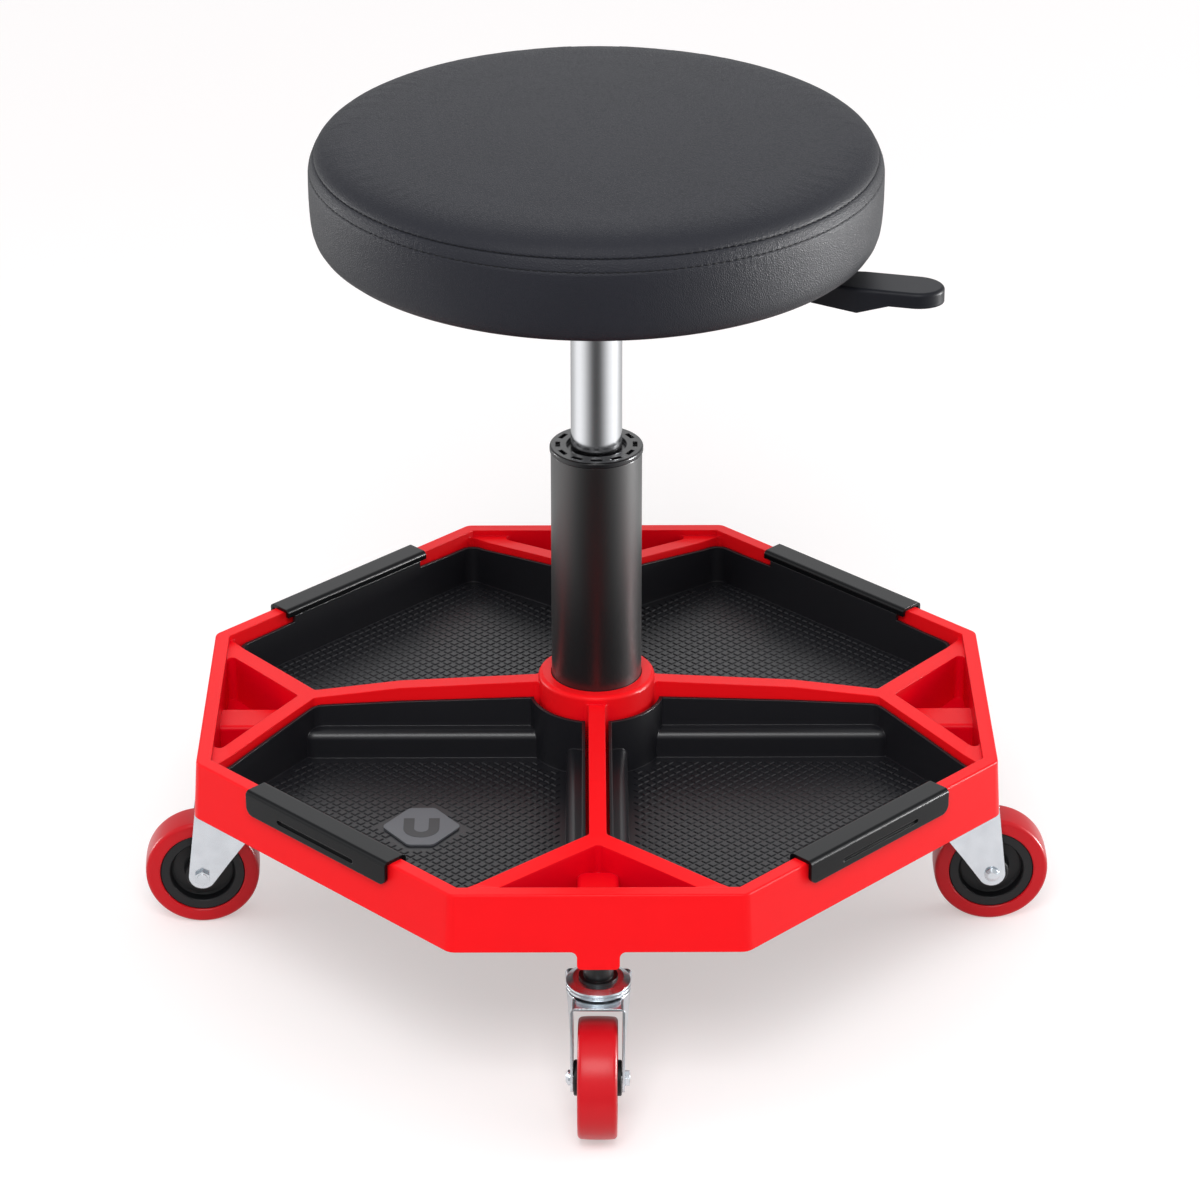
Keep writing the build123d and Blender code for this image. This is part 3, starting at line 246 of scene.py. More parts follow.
def zinc_plate(name):
    """Bright zinc plating over pressed steel: cool, slightly cloudy, with faint drawing marks."""
    material, tree, shader, place = start_material(name)
    cloud = add_node(tree, "ShaderNodeTexNoise", {"Vector": place, "Scale": 120.0, "Detail": 4.0})
    grit = add_node(tree, "ShaderNodeTexNoise", {"Vector": place, "Scale": 1 / (0.5 * MM), "Detail": 2.0})
    tone = add_node(tree, "ShaderNodeMix", {
        0: cloud.outputs["Fac"], MIX_FIRST: linear("C2C9CF"), MIX_SECOND: linear("DCE3E8")}, data_type="RGBA")
    tree.links.new(tone.outputs[MIX_RESULT], shader.inputs["Base Color"])
    shader.inputs["Metallic"].default_value = 1.0
    rough = add_node(tree, "ShaderNodeMapRange", {
        "Value": cloud.outputs["Fac"], "To Min": 0.2, "To Max": 0.28})
    tree.links.new(rough.outputs["Result"], shader.inputs["Roughness"])
    rounded = add_node(tree, "ShaderNodeBevel", {"Radius": 0.5 * MM}, samples=10)
    bump = add_node(tree, "ShaderNodeBump", {
        "Height": grit.outputs["Fac"], "Distance": 0.004 * MM, "Normal": rounded.outputs["Normal"]})
    tree.links.new(bump.outputs["Normal"], shader.inputs["Normal"])
    return material


def dress(material, *names):
    """Gives CAD nodes their material."""
    for name in names:
        mesh = nodes[name].data
        mesh.materials.clear()
        mesh.materials.append(material)


# Modelling
def new_piece(name, form, material, body, replaced=()):
    """Makes an object of a finished bmesh, with smooth faces and sharp edges over 35 degrees."""
    mesh = bpy.data.meshes.new(name)
    form.to_mesh(mesh)
    form.free()
    mesh.shade_smooth()
    mesh.set_sharp_from_angle(angle=math.radians(35))
    mesh.materials.append(material)
    piece = bpy.data.objects.new(name, mesh)
    bpy.context.scene.collection.objects.link(piece)
    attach(piece, body)
    if replaced:
        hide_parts(*replaced)
    return piece


def turned(profile, steps, closed=False):
    """A bmesh turned round the Z axis from a profile of radius and height in metres."""
    form = bmesh.new()
    corners = [form.verts.new((radius, 0, height)) for radius, height in profile]
    edges = [form.edges.new(pair) for pair in zip(corners, corners[1:])]
    if closed:
        edges.append(form.edges.new((corners[-1], corners[0])))
    bmesh.ops.spin(form, geom=corners + edges, cent=(0, 0, 0), axis=(0, 0, 1), angle=math.tau, steps=steps,
                   use_merge=True, use_normal_flip=False, use_duplicate=False)
    bmesh.ops.remove_doubles(form, verts=form.verts, dist=0.01 * MM)
    bmesh.ops.recalc_face_normals(form, faces=form.faces)
    return form


def body_of_node(node):
    """The body that a CAD node rides on."""
    return nodes[node]["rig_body"]


class STOOL_OT_stage(bpy.types.Operator):
    """Adds the pale floor, the studio light and the camera at the photograph's angle"""

    bl_idname = "stool.stage"
    bl_label = "Stage"

    def execute(self, context):
        scene = context.scene
        scene.view_settings.view_transform = "Standard"
        # The lens and the camera's place were fitted to the outline of the base in the photograph.
        eye = bpy.data.cameras.new("camera")
        eye.lens = 133.65
        camera = bpy.data.objects.new("camera", eye)
        camera.location = (-0.0094, -2.2046, 1.3204)
        camera.rotation_euler = (math.radians(63.073), 0, -0.005155)
        scene.collection.objects.link(camera)
        scene.camera = camera

        world = bpy.data.worlds.new("studio")
        world.use_nodes = True
        scene.world = world
        tree = world.node_tree
        tree.nodes.clear()
        rays = add_node(tree, "ShaderNodeLightPath")
        light = add_node(tree, "ShaderNodeBackground", {"Color": (0.97, 0.98, 1, 1), "Strength": 0.66})
        backdrop = add_node(tree, "ShaderNodeBackground", {"Color": (1, 1, 1, 1), "Strength": 1.0})
        mixed = add_node(tree, "ShaderNodeMixShader", {
            0: rays.outputs["Is Camera Ray"], 1: light.outputs["Background"],
            2: backdrop.outputs["Background"]})
        add_node(tree, "ShaderNodeOutputWorld", {"Surface": mixed.outputs["Shader"]})

        # The back card and the two strips only show as reflections: on level surfaces, and down the column
        # and the seat's side.
        for name, place, size, power, lit in (
            ("top_softbox", (-0.1, 0.2, 2.2), 1.6, 2.0, True),
            ("front_softbox", (-0.1, -1.6, 1.95), 1.0, 28.0, True),
            ("right_softbox", (2.0, 0.35, 0.75), 1.3, 12.0, True),
            ("left_softbox", (-2.1, -0.2, 1.2), 1.2, 4.0, True),
            ("back_card", (0, 2.3, 1.5), 1.6, 6.5, False),
            ("right_strip", (2.0, 0.15, 0.2), 0.5, 95.0, False),
            ("left_strip", (-1.9, 0.85, 0.2), 0.5, 19.0, False),
        ):
            lamp = bpy.data.lights.new(name, "AREA")
            lamp.shape = "SQUARE"
            lamp.size = size
            lamp.energy = power
            holder = bpy.data.objects.new(name, lamp)
            holder.location = place
            holder.visible_diffuse = lit
            aim = Vector((0, 0, 0.25)) - holder.location
            holder.rotation_euler = aim.to_track_quat("-Z", "Y").to_euler()
            scene.collection.objects.link(holder)

        form = bmesh.new()
        bmesh.ops.create_grid(form, x_segments=2, y_segments=2, size=12.0)
        mesh = bpy.data.meshes.new("floor")
        form.to_mesh(mesh)
        form.free()
        floor = bpy.data.objects.new("floor", mesh)
        scene.collection.objects.link(floor)
        material = bpy.data.materials.new("pale_floor_with_painted_reflections")
        material.use_nodes = True
        tree = material.node_tree
        tree.nodes.clear()
        rays = add_node(tree, "ShaderNodeLightPath")
        seen = add_node(tree, "ShaderNodeMath", {
            0: rays.outputs["Is Camera Ray"], 1: rays.outputs["Is Glossy Ray"]}, operation="MAXIMUM")
        seen = add_node(tree, "ShaderNodeMath", {
            0: seen.outputs["Value"], 1: rays.outputs["Is Transmission Ray"]}, operation="MAXIMUM")
        plain = add_node(tree, "ShaderNodeBsdfDiffuse", {"Color": linear("D6D3D3")})
        place = add_node(tree, "ShaderNodeTexCoord").outputs["Object"]
        reach = add_node(tree, "ShaderNodeVectorMath", {0: place}, operation="LENGTH").outputs["Value"]
        # Far from the lamps the floor fades into the white backdrop.
        far = add_node(tree, "ShaderNodeMapRange", {
            "Value": reach, "From Min": 1.2, "From Max": 5.0, "To Min": 0.42, "To Max": 0.64})
        glow = add_node(tree, "ShaderNodeEmission", {
            "Color": linear("FFFDFB"), "Strength": far.outputs["Result"]})
        lifted = add_node(tree, "ShaderNodeAddShader", {
            0: plain.outputs["BSDF"], 1: glow.outputs["Emission"]})
        near = add_node(tree, "ShaderNodeMixShader", {
            0: seen.outputs["Value"], 1: plain.outputs["BSDF"], 2: lifted.outputs["Shader"]})
        # Painted reflection: glossy rays see the floor further out glow white at the sides and dark in front,
        # as if cards lay there, and upright metal mirrors it. The dark part is wider nearer to the stool,
        # where the column tube mirrors it.
        split = add_node(tree, "ShaderNodeSeparateXYZ", {0: place})
        ahead = add_node(tree, "ShaderNodeMath", {0: split.outputs["Y"], 1: reach}, operation="DIVIDE")
        ahead = add_node(tree, "ShaderNodeMapRange", {
            "Value": ahead.outputs["Value"], "From Min": 1.0, "From Max": -1.0})
        wider = add_node(tree, "ShaderNodeMapRange", {
            "Value": reach, "From Min": 0.48, "From Max": 0.62, "To Min": 0.2, "To Max": 0.0})
        shifted = add_node(tree, "ShaderNodeMath", {0: ahead.outputs["Result"], 1: wider.outputs["Result"]},
                           operation="ADD")
        painted_card_ramp = add_node(tree, "ShaderNodeValToRGB", {0: shifted.outputs["Value"]})
        ramp = painted_card_ramp.color_ramp
        ramp.elements[0].color = (0.35, 0.35, 0.35, 1)
        ramp.elements[1].color = (0.08, 0.08, 0.08, 1)
        for share, white in (
            (0.25, 0.6), (0.44, 0.95), (0.62, 1.0), (0.77, 0.8), (0.88, 0.5), (0.95, 0.26), (0.985, 0.12),
        ):
            ramp.elements.new(share).color = (white, white, white, 1)
        sides = add_node(tree, "ShaderNodeMapRange", {
            "Value": split.outputs["X"], "From Min": -0.5, "From Max": 0.5, "To Min": 1.3, "To Max": 1.42})
        # Painted reflection: this glow is seen only by glossy rays, and it is a little brighter towards the
        # right.
        painted_card_glow = add_node(tree, "ShaderNodeEmission", {
            "Color": painted_card_ramp.outputs["Color"], "Strength": sides.outputs["Result"]})
        outer = add_node(tree, "ShaderNodeMapRange", {
            "Value": reach, "From Min": 0.3, "From Max": 0.46}, interpolation_type="SMOOTHSTEP")
        painted_reflection_share = add_node(tree, "ShaderNodeMath", {
            0: outer.outputs["Result"], 1: rays.outputs["Is Glossy Ray"]}, operation="MULTIPLY")
        mixed = add_node(tree, "ShaderNodeMixShader", {
            0: painted_reflection_share.outputs["Value"], 1: near.outputs["Shader"], 2: painted_card_glow.outputs["Emission"]})
        add_node(tree, "ShaderNodeOutputMaterial", {"Surface": mixed.outputs["Shader"]})
        mesh.materials.append(material)
        return {"FINISHED"}


class STOOL_OT_base_frame(bpy.types.Operator):
    """Dresses the moulded base frame"""

    bl_idname = "stool.base_frame"
    bl_label = "Base frame"

    def execute(self, context):
        colours = context.scene.stool_colours
        # Satin polypropylene from a lightly etched mould: even, strong colour with a soft sheen.
        red = surface("moulded_polypropylene_red", colours.base, 0.36, specular=0.12, grain=0.5,
                      depth=0.004, mottle=0.03)
        # Painted shade: an ambient occlusion mask turns the red deeper in the pockets and other recesses.
        paint_recess_shade(red, linear("DE001C"), 60 * MM)
        dress(red, "base_frame")
        return {"FINISHED"}


class STOOL_OT_trays(bpy.types.Operator):
    """Dresses the trays and adds the raised anti-slip pads on their floors"""

    bl_idname = "stool.trays"
    bl_label = "Trays"

    def execute(self, context):
        sizes = context.scene.stool_sizes
        colours = context.scene.stool_colours
        # Black polypropylene from an etched mould: deep black walls and a grey sheen where it lies flat.
        black = surface("moulded_polypropylene_black", colours.tray, 0.34, specular=0.4, grain=0.5,
                        depth=0.005, mottle=0.08)
        dress(black, *(f"tray_{side}" for side in TRAY_SIDES))
        magnet = BVHTree.FromObject(nodes["tray_magnet"], context.evaluated_depsgraph_get())
        for side, facing in TRAY_SIDES.items():
            self.add_grip(context, side, facing, magnet, black, sizes)
        return {"FINISHED"}

    def add_grip(self, context, side, facing, magnet, black, sizes):
        """The pads stand in rows along the rim wherever the floor is open."""
        tray = BVHTree.FromObject(nodes[f"tray_{side}"], context.evaluated_depsgraph_get())
        turn = Matrix.Rotation(math.radians(facing), 4, "Z")
        thickness, sunk, clearance = 2 * MM, 0.1 * MM, 0.5 * MM
        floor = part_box(f"tray_{side}")[0].z + thickness
        pad = bmesh.new()
        half = sizes.grip_width / 2
        depth = sizes.grip_height + sunk
        square = Matrix.Rotation(math.pi / 4, 4, "Z")
        # The pads' sides slope at 45 degrees.
        bmesh.ops.create_cone(
            pad, cap_ends=True, segments=4, radius1=half * math.sqrt(2),
            radius2=(half - sizes.grip_height) * math.sqrt(2), depth=depth,
            matrix=Matrix.Translation((0, 0, floor - sunk + depth / 2)) @ square)
        one = bpy.data.meshes.new("grip_pad")
        pad.to_mesh(one)
        pad.free()
        form = bmesh.new()
        reach = 200 * MM
        first_row = 4
        count = int(reach / sizes.grip_pitch)
        for row in range(first_row, count):
            for column in range(-count, count + 1):
                x = row * sizes.grip_pitch
                y = (column + 0.5) * sizes.grip_pitch
                if self.open_floor(tray, magnet, turn, x, y, half + clearance, floor):
                    start = len(form.verts)
                    form.from_mesh(one)
                    form.verts.ensure_lookup_table()
                    bmesh.ops.translate(form, verts=form.verts[start:], vec=(x, y, 0))
        bmesh.ops.transform(form, matrix=turn, verts=form.verts)
        bpy.data.meshes.remove(one)
        new_piece(f"tray_grip_{side}", form, black, f"tray_{side}")

    def open_floor(self, tray, magnet, turn, x, y, half, floor):
        """Whether a pad at this place would stand on open floor."""
        down = Vector((0, 0, -1))
        start, longest, slack = 20 * MM, 100 * MM, 0.2 * MM
        for across, along in ((-1, -1), (-1, 1), (1, -1), (1, 1), (0, 0)):
            above = turn @ Vector((x + across * half, y + along * half, floor + start))
            hit = tray.ray_cast(above, down, longest)[0]
            if hit is None or abs(hit.z - floor) > slack:
                return False
            if magnet.ray_cast(above, down, longest)[0] is not None:
                return False
        return True


class STOOL_OT_tray_clips(bpy.types.Operator):
    """Dresses the folded clips that hook the trays over the rim"""

    bl_idname = "stool.tray_clips"
    bl_label = "Tray clips"

    def execute(self, context):
        colours = context.scene.stool_colours
        # Satin powder coat on folded steel: grey-black with a faint orange peel, brighter along its folds.
        coat = surface("powder_coated_steel_grey", colours.clip, 0.25, specular=0.19, grain=0.9,
                       depth=0.0012, mottle=0.05, edge=0.5)
        dress(coat, *(f"tray_clip_{side}" for side in TRAY_SIDES))
        return {"FINISHED"}


class STOOL_OT_magnet(bpy.types.Operator):
    """Dresses the magnet plate and adds the raised horseshoe that marks it"""

    bl_idname = "stool.magnet"
    bl_label = "Magnet plate"

    def execute(self, context):
        # Printed film over a flat magnet: a flat satin grey that shows no grain.
        film = surface("satin_film_grey", linear("5E6065"), 0.42, grain=0.8,
                       depth=0.002, mottle=0.03, edge=0.3)
        # Screen ink on the film: darker and as flat.
        ink = surface("printed_ink_dark_grey", linear("2C2D30"), 0.4, grain=0.8,
                      depth=0.002, mottle=0.05, edge=0.1)
        dress(film, "tray_magnet")
        low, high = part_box("tray_magnet")
        centre = (low + high) / 2
        # A plain horseshoe: two straight arms and a half ring between them.
        outer, inner, arm = 9.8 * MM, 3.9 * MM, 11.0 * MM
        thick, sunk, forward = 0.12 * MM, 0.02 * MM, 2.5 * MM
        form = bmesh.new()
        edge = [form.verts.new((inner, 0, 0)), form.verts.new((outer, 0, 0))]
        bmesh.ops.spin(form, geom=edge + [form.edges.new(edge)], cent=(0, 0, 0), axis=(0, 0, 1),
                       angle=-math.pi, steps=24, use_merge=False, use_normal_flip=False, use_duplicate=False)
        ends = [e for e in form.edges if all(abs(v.co.y) < 0.01 * MM for v in e.verts)]
        grown = bmesh.ops.extrude_edge_only(form, edges=ends)["geom"]
        grown = [part for part in grown if isinstance(part, bmesh.types.BMVert)]
        bmesh.ops.translate(form, verts=grown, vec=(0, arm, 0))
        bmesh.ops.recalc_face_normals(form, faces=form.faces)
        raised = bmesh.ops.extrude_face_region(form, geom=form.faces[:])["geom"]
        raised = [part for part in raised if isinstance(part, bmesh.types.BMVert)]
        bmesh.ops.translate(form, verts=raised, vec=(0, 0, thick))
        bmesh.ops.recalc_face_normals(form, faces=form.faces)
        bmesh.ops.translate(form, verts=form.verts, vec=(centre.x, centre.y - forward, high.z - sunk))
        new_piece("magnet_mark", form, ink, "tray_front_left")
        return {"FINISHED"}


class STOOL_OT_column(bpy.types.Operator):
    """Turns the column tube at full smoothness and dresses its guide bush"""

    bl_idname = "stool.column"
    bl_label = "Column"

    def execute(self, context):
        colours = context.scene.stool_colours
        # Satin powder coat on drawn tube: near black, with broad soft reflections.
        paint = surface("powder_coated_tube_black", colours.column, 0.34, specular=1.0, grain=1.2,
                        depth=0.003, mottle=0.05, edge=0.3)
        low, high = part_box("column_tube")
        radius, wall, corner = high.x, 2 * MM, 0.5 * MM
        form = turned([
            (radius - wall, low.z), (radius - corner, low.z), (radius, low.z + corner),
            (radius, high.z - corner), (radius - corner, high.z), (radius - wall, high.z)],
            TUBE_STEPS, closed=True)
        body = body_of_node("column_tube")
        new_piece("column_tube_turned", form, paint, body, ["column_tube"])
        # Moulded acetal: smooth and slightly glossy black.
        acetal = surface("moulded_acetal_black", linear("151518"), 0.26, grain=0.6,
                         depth=0.003, mottle=0.05, edge=0.5)
        dress(acetal, "guide_bush", "gas_piston", "rod_gland")
        return {"FINISHED"}


class STOOL_OT_gas_lift(bpy.types.Operator):
    """Turns the bright cylinder and dresses the parts inside the gas lift"""

    bl_idname = "stool.gas_lift"
    bl_label = "Gas lift"

    def execute(self, context):
        # Satin chrome on ground steel: bright, with fine marks round it that soften what it reflects.
        chrome = surface("satin_chrome", linear("D6D7DA"), 0.17, metallic=1.0, grain=1.5,
                         depth=0.0015, mottle=0.02, edge=0.3, stretch=(1, 1, 12))
        low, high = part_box("gas_cylinder")
        radius, neck, neck_radius, corner = high.x, 28 * MM, 13 * MM, 0.4 * MM
        bore, button_bore, head = 12.5 * MM, 3.55 * MM, 18 * MM
        form = turned([
            (bore, low.z), (radius - corner, low.z), (radius, low.z + corner), (radius, high.z - neck),
            (neck_radius, high.z - corner), (neck_radius - corner, high.z), (button_bore, high.z),
            (button_bore, high.z - head), (bore, high.z - head)], TUBE_STEPS, closed=True)
        body = body_of_node("gas_cylinder")
        new_piece("gas_cylinder_turned", form, chrome, body, ["gas_cylinder"])
        # Ground and hard chromed rod and bearing steel: clean grey metal with a fine grind.
        ground = surface("ground_steel", linear("B4B6BA"), 0.24, metallic=1.0, grain=0.4,
                         depth=0.002, mottle=0.04, edge=0.2, stretch=(1, 1, 8))
        dress(ground, "piston_rod", "release_button", "lower_race", "upper_race", "thrust_balls", "snap_ring",
              "caster_balls")
        # Moulded rubber: dull black.
        rubber = surface("moulded_rubber_black", linear("1A1A1A"), 0.75, grain=0.6, depth=0.01, mottle=0.06)
        dress(rubber, "bump_stop")
        return {"FINISHED"}


class STOOL_OT_seat_cushion(bpy.types.Operator):
    """Models the padded seat: a crowned top, a sewn band and a boxed side, filled by a cloth simulation"""

    bl_idname = "stool.seat_cushion"
    bl_label = "Seat cushion"

    def execute(self, context):
        colours = context.scene.stool_colours
        sizes = context.scene.stool_sizes
        cover = vinyl("grained_vinyl_charcoal", colours.seat)
        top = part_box("seat_cushion")[1].z
        # Reach from the axis and height from the top, in mm: the top panel, the band between the two seams,
        # the boxed side, and the hem that turns in under the board.
        outline = [
            (0, 0), (20, -0.08), (40, -0.3), (60, -0.7), (80, -1.25), (98, -1.9), (112, -2.5), (123, -3.0),
            (131, -3.4), (136, -3.8), (140, -4.4), (143.2, -5.4), (145.6, -6.7), (147.4, -8.3),
            (148.6, -10.0), (149.2, -11.3), (149.25, -11.8), (148.9, -12.1), (148.7, -12.3),
            (149.0, -12.5), (149.6, -12.6), (150.2, -13.2), (150.9, -14.6), (151.5, -16.2),
            (151.95, -17.7), (152.0, -18.2), (151.75, -18.5), (151.65, -18.65), (151.8, -18.8),
            (152.2, -19.2), (152.45, -20.5), (152.6, -27), (152.5, -34), (152.2, -41), (151.8, -46.5),
            (151.2, -50.5), (150.2, -53.6), (148.6, -56.1), (146.4, -57.9), (143.6, -58.9), (140.5, -59),
            (133, -59), (128, -56.3), (118, -56.3), (118, -55), (143.3, -55), (143.3, -43), (0, -43),
        ]
        steps_per_stitch = 3
        form = turned([(r * MM, top + z * MM) for r, z in outline], sizes.stitch_count * steps_per_stitch)
        self.fill(context, form, top)
        self.pucker(form, top, sizes.stitch_count)
        cushion = new_piece("seat_cushion_sewn", form, cover, "seat", ["seat_cushion"])
        return {"FINISHED"}

    def fill(self, context, form, top):
        """Swells a coarse copy of the cover with the cloth simulation, and moves the cover with it."""
        hem, seam_height, seam_reach = -52 * MM, 5 * MM, 145 * MM
        still_hem, still_floor, fade = -55 * MM, -42 * MM, 6 * MM
        frames, smoothings, cap = 20, 30, 0.9 * MM
        scene = context.scene
        mesh = bpy.data.meshes.new("foam")
        form.to_mesh(mesh)
        foam = bpy.data.objects.new("foam", mesh)
        scene.collection.objects.link(foam)
        context.view_layer.objects.active = foam
        remesh = foam.modifiers.new("remesh", "REMESH")
        remesh.mode = "VOXEL"
        remesh.voxel_size = 6 * MM
        bpy.ops.object.modifier_apply(modifier=remesh.name)
        rest = BVHTree.FromObject(foam, context.evaluated_depsgraph_get())
        held = foam.vertex_groups.new(name="held")
        for vertex in foam.data.vertices:
            reach = math.hypot(vertex.co.x, vertex.co.y)
            height = vertex.co.z - top
            on_seam = abs(height - (UPPER_SEAM + LOWER_SEAM) / 2) < seam_height and reach > seam_reach
            if height < hem or on_seam:
                held.add([vertex.index], 1.0, "REPLACE")
        cloth = foam.modifiers.new("cloth", "CLOTH")
        cloth.settings.vertex_group_mass = held.name
        cloth.settings.use_pressure = True
        cloth.settings.uniform_pressure_force = 4.0
        cloth.settings.effector_weights.gravity = 0.0
        cloth.settings.quality = 6
        cloth.point_cache.frame_end = frames
        before = [vertex.co.copy() for vertex in foam.data.vertices]
        triangles = [tuple(face.vertices) for face in foam.data.polygons]
        for step in range(1, frames + 1):
            scene.frame_set(step)
        filled = foam.evaluated_get(context.evaluated_depsgraph_get())
        moves = [vertex.co - start for vertex, start in zip(filled.data.vertices, before)]
        beside = [[number] for number in range(len(moves))]
        for edge in foam.data.edges:
            first, second = edge.vertices
            beside[first].append(second)
            beside[second].append(first)
        # Foam under the cover evens out the small creases of a bare sheet.
        for _ in range(smoothings):
            moves = [sum((moves[i] for i in near), Vector()) / len(near) for near in beside]
        for vertex in form.verts:
            reach = math.hypot(vertex.co.x, vertex.co.y)
            height = vertex.co.z - top
            if height < still_hem or (height < still_floor and reach < seam_reach):
                continue
            face = rest.find_nearest(vertex.co)[2]
            near = triangles[face]
            weights = [1 / (1 * MM + (before[i] - vertex.co).length) for i in near]
            move = sum((moves[i] * w for i, w in zip(near, weights)), Vector()) / sum(weights)
            if move.length > cap:
                move = move.normalized() * cap
            seam = min(abs(height - UPPER_SEAM), abs(height - LOWER_SEAM))
            vertex.co += move * min(seam / fade, 1.0)
        scene.frame_set(1)
        bpy.data.objects.remove(foam)

    def pucker(self, form, top, stitches):
        """Draws the cover in a little at each stitch of the two rows."""
        spread, outer, deepest = 3.2 * MM, 140 * MM, 0.16 * MM
        for vertex in form.verts:
            height = vertex.co.z - top
            for row in (UPPER_SEAM, LOWER_SEAM):
                near = 1 - abs(height - row) / spread
                if near > 0 and math.hypot(vertex.co.x, vertex.co.y) > outer:
                    turn = math.atan2(vertex.co.y, vertex.co.x)
                    pull = deepest * near * math.cos(turn * stitches)
                    vertex.co -= Vector((math.cos(turn), math.sin(turn), 0)) * pull


class STOOL_OT_seat_stitching(bpy.types.Operator):
    """Sews the two rows of stitches into the seams of the seat"""

    bl_idname = "stool.seat_stitching"
    bl_label = "Seat stitching"

    def execute(self, context):
        sizes = context.scene.stool_sizes
        # Bonded polyester thread: dull, darker than the vinyl.
        thread = surface("bonded_thread_black", linear("0C0C0E"), 0.6, specular=0.3, grain=0.25,
                         depth=0.02, mottle=0.1, edge=0.1)
        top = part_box("seat_cushion")[1].z
        one = bmesh.new()
        bmesh.ops.create_uvsphere(one, u_segments=8, v_segments=6, radius=0.5)
        shape = (sizes.thread_width, sizes.stitch_length, sizes.thread_width)
        bmesh.ops.scale(one, vec=shape, verts=one.verts)
        stitch = bpy.data.meshes.new("stitch")
        one.to_mesh(stitch)
        one.free()
        for row, reach, seam in (("upper", 148.9 * MM, UPPER_SEAM), ("lower", 151.8 * MM, LOWER_SEAM)):
            form = bmesh.new()
            for number in range(sizes.stitch_count):
                start = len(form.verts)
                form.from_mesh(stitch)
                form.verts.ensure_lookup_table()
                place = (Matrix.Rotation(math.tau * (number + 0.5) / sizes.stitch_count, 4, "Z")
                         @ Matrix.Translation((reach, 0, top + seam)))
                bmesh.ops.transform(form, matrix=place, verts=form.verts[start:])
            new_piece(f"seat_stitches_{row}", form, thread, "seat")
        bpy.data.meshes.remove(stitch)
        return {"FINISHED"}


class STOOL_OT_seat_mount(bpy.types.Operator):
    """Dresses the board, the pressed plate and its screws under the seat"""

    bl_idname = "stool.seat_mount"
    bl_label = "Seat mount"

    def execute(self, context):
        dress(plywood("birch_plywood"), "seat_board")
        # Black powder coat on pressed steel: satin, with a light orange peel.
        paint = surface("powder_coated_plate_black", linear("202023"), 0.38, grain=1.0,
                        depth=0.01, mottle=0.05)
        dress(paint, "seat_plate", "lift_lever")
        dress(zinc_plate("zinc_plated_screws"), "plate_screws", "lever_pin")
        return {"FINISHED"}


class STOOL_OT_height_lever(bpy.types.Operator):
    """Dresses the moulded handle of the height lever"""

    bl_idname = "stool.height_lever"
    bl_label = "Height lever"

    def execute(self, context):
        # Moulded polypropylene handle: smooth black with a soft grey sheen on its flat top.
        grip = surface("moulded_handle_black", linear("1E1F24"), 0.4, specular=0.14, grain=0.7,
                       depth=0.004, mottle=0.05, edge=1.0)
        dress(grip, "lever_handle")
        return {"FINISHED"}


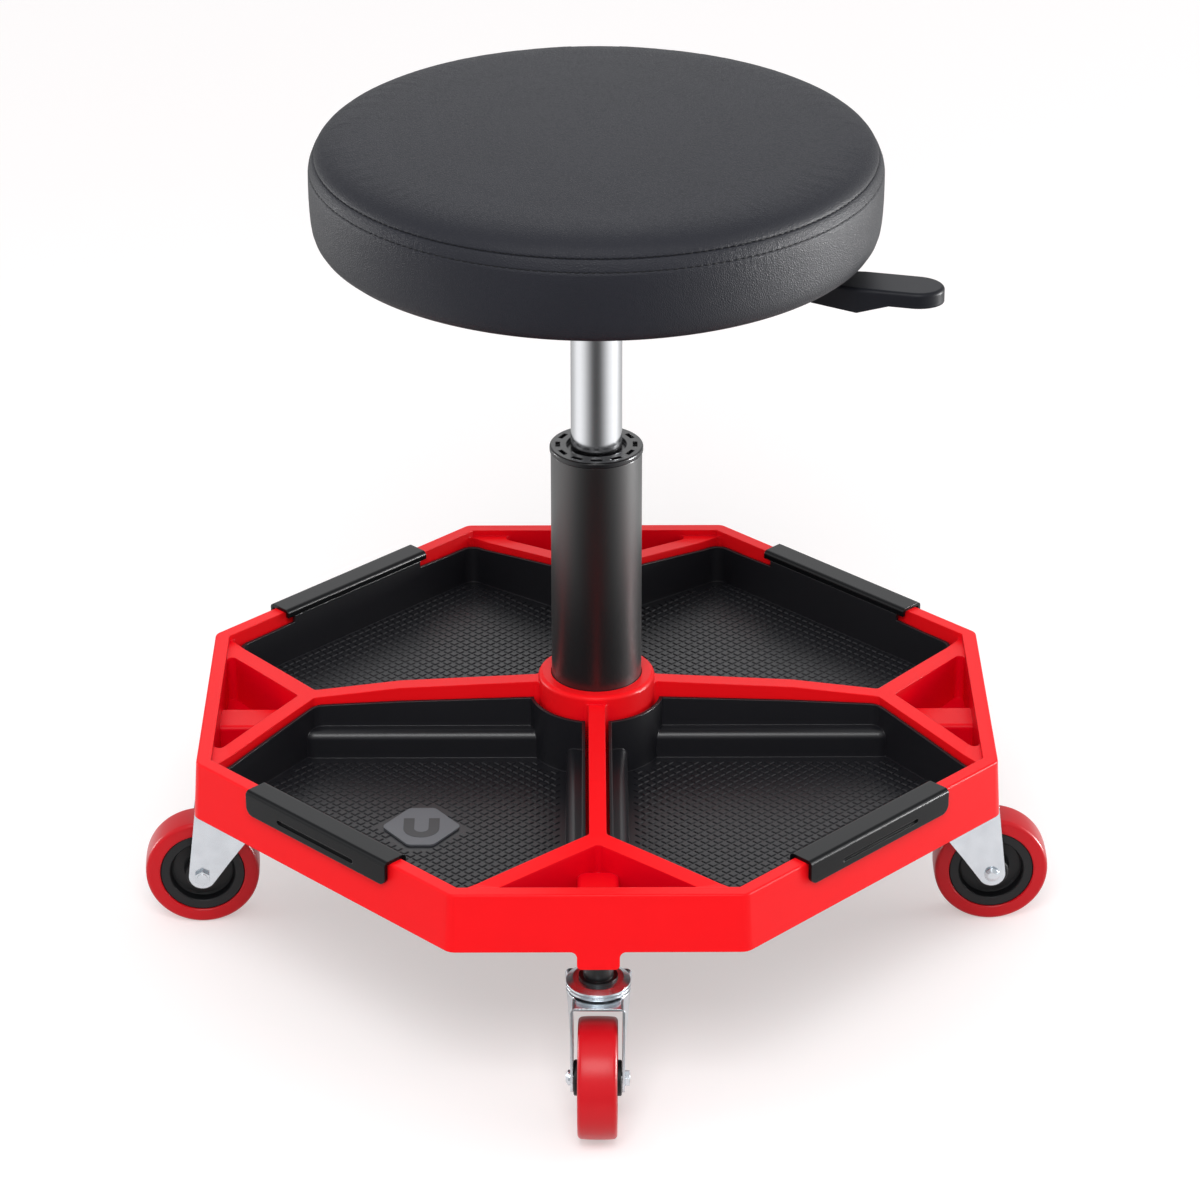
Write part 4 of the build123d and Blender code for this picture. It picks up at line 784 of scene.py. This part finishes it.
class STOOL_OT_casters(bpy.types.Operator):
    """Turns the wheels and tyres and dresses the forks, cups and axles"""

    bl_idname = "stool.casters"
    bl_label = "Casters"

    def execute(self, context):
        colours = context.scene.stool_colours
        # Cast polyurethane: deep red and a little glossy.
        urethane = surface("cast_polyurethane_red", colours.tyre, 0.34, specular=0.3, grain=0.8,
                           depth=0.0015, mottle=0.05, edge=0.3)
        # Moulded nylon wheel core: dark grey-black and dull.
        nylon = surface("moulded_nylon_black", linear("121315"), 0.5, specular=0.35, grain=0.5,
                        depth=0.01, mottle=0.06, edge=0.4)
        # Moulded acetal collar: black and fairly glossy.
        collar = surface("moulded_collar_black", linear("0D0D0F"), 0.3, grain=0.5,
                         depth=0.003, mottle=0.05, edge=0.4)
        zinc = zinc_plate("zinc_plated_pressing")
        axles = {joint["name"]: joint for joint in frame["record"]["behaviour"]["joints"]}
        for side in CASTER_SIDES:
            dress(zinc, *(f"caster_{kind}_{side}" for kind in ("fork", "cup", "axle", "stem")))
            dress(collar, f"caster_collar_{side}")
            axle = axles[f"wheel_spin_{side}"]
            turn = Vector(axle["axis"]).to_track_quat("Z", "X")
            place = Matrix.Translation(axle["pos_m"]) @ turn.to_matrix().to_4x4()
            self.add_wheel(side, place, urethane, nylon)
        return {"FINISHED"}

    def add_wheel(self, side, place, urethane, nylon):
        """A tyre with rounded shoulders, and a drafted core with a recessed web on both sides.

        The sizes are in mm."""
        low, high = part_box(f"caster_tyre_{side}")
        radius = (high.z - low.z) / 2 / MM
        half, shoulder, crown, core = 10.5, 2.4, 0.3, radius - 8.5
        near = [(core + 0.05, half - 0.5), (core + 0.6, half)]
        arcs = 6
        for step in range(arcs + 1):
            turn = math.radians(90 * step / arcs)
            near.append((radius - crown - shoulder + shoulder * math.sin(turn),
                         half - shoulder + shoulder * math.cos(turn)))
        near.append((radius - crown / 4, half / 2))
        far = [(r, -z) for r, z in reversed(near)]
        form = turned([(r * MM, z * MM) for r, z in near + [(radius, 0)] + far], WHEEL_STEPS, closed=True)
        bmesh.ops.transform(form, matrix=place, verts=form.verts)
        new_piece(f"tyre_{side}", form, urethane, f"wheel_{side}", [f"caster_tyre_{side}"])

        near = [
            (3.05, 12.4), (3.4, 12.7), (9.0, 12.7), (9.5, 12.2), (9.9, 4.6), (10.8, 3.8), (16.6, 3.8),
            (17.6, 4.6), (18.3, 9.1), (18.9, 9.7), (23.4, 9.7), (24.0, 9.2),
        ]
        far = [(r, -z) for r, z in reversed(near)]
        form = turned([(r * MM, z * MM) for r, z in near + far], WHEEL_STEPS, closed=True)
        bmesh.ops.transform(form, matrix=place, verts=form.verts)
        new_piece(f"wheel_core_{side}", form, nylon, f"wheel_{side}", [f"caster_hub_{side}"])


OPERATORS = (
    STOOL_OT_stage, STOOL_OT_base_frame, STOOL_OT_trays, STOOL_OT_tray_clips, STOOL_OT_magnet,
    STOOL_OT_column, STOOL_OT_gas_lift, STOOL_OT_seat_cushion, STOOL_OT_seat_stitching,
    STOOL_OT_seat_mount, STOOL_OT_height_lever, STOOL_OT_casters,
)


class STOOL_PT_panel(bpy.types.Panel):
    """Lists the pieces of the stool"""

    bl_idname = "STOOL_PT_panel"
    bl_label = "Work Stool"
    bl_space_type = "VIEW_3D"
    bl_region_type = "UI"
    bl_category = "Work Stool"

    def draw(self, context):
        for group in (context.scene.stool_sizes, context.scene.stool_colours):
            for name in group.__annotations__:
                self.layout.prop(group, name)
        for operator in OPERATORS:
            self.layout.operator(operator.bl_idname)


CLASSES = (StoolSizes, StoolColours, *OPERATORS, STOOL_PT_panel)


def register():
    for kind in CLASSES:
        bpy.utils.register_class(kind)
    bpy.types.Scene.stool_sizes = PointerProperty(type=StoolSizes)
    bpy.types.Scene.stool_colours = PointerProperty(type=StoolColours)


def unregister():
    del bpy.types.Scene.stool_colours
    del bpy.types.Scene.stool_sizes
    for kind in reversed(CLASSES):
        bpy.utils.unregister_class(kind)


def main():
    """Registers the add-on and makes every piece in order."""
    register()
    for operator in OPERATORS:
        group, name = operator.bl_idname.split(".")
        getattr(getattr(bpy.ops, group), name)()


if __name__ == "__main__":
    main()
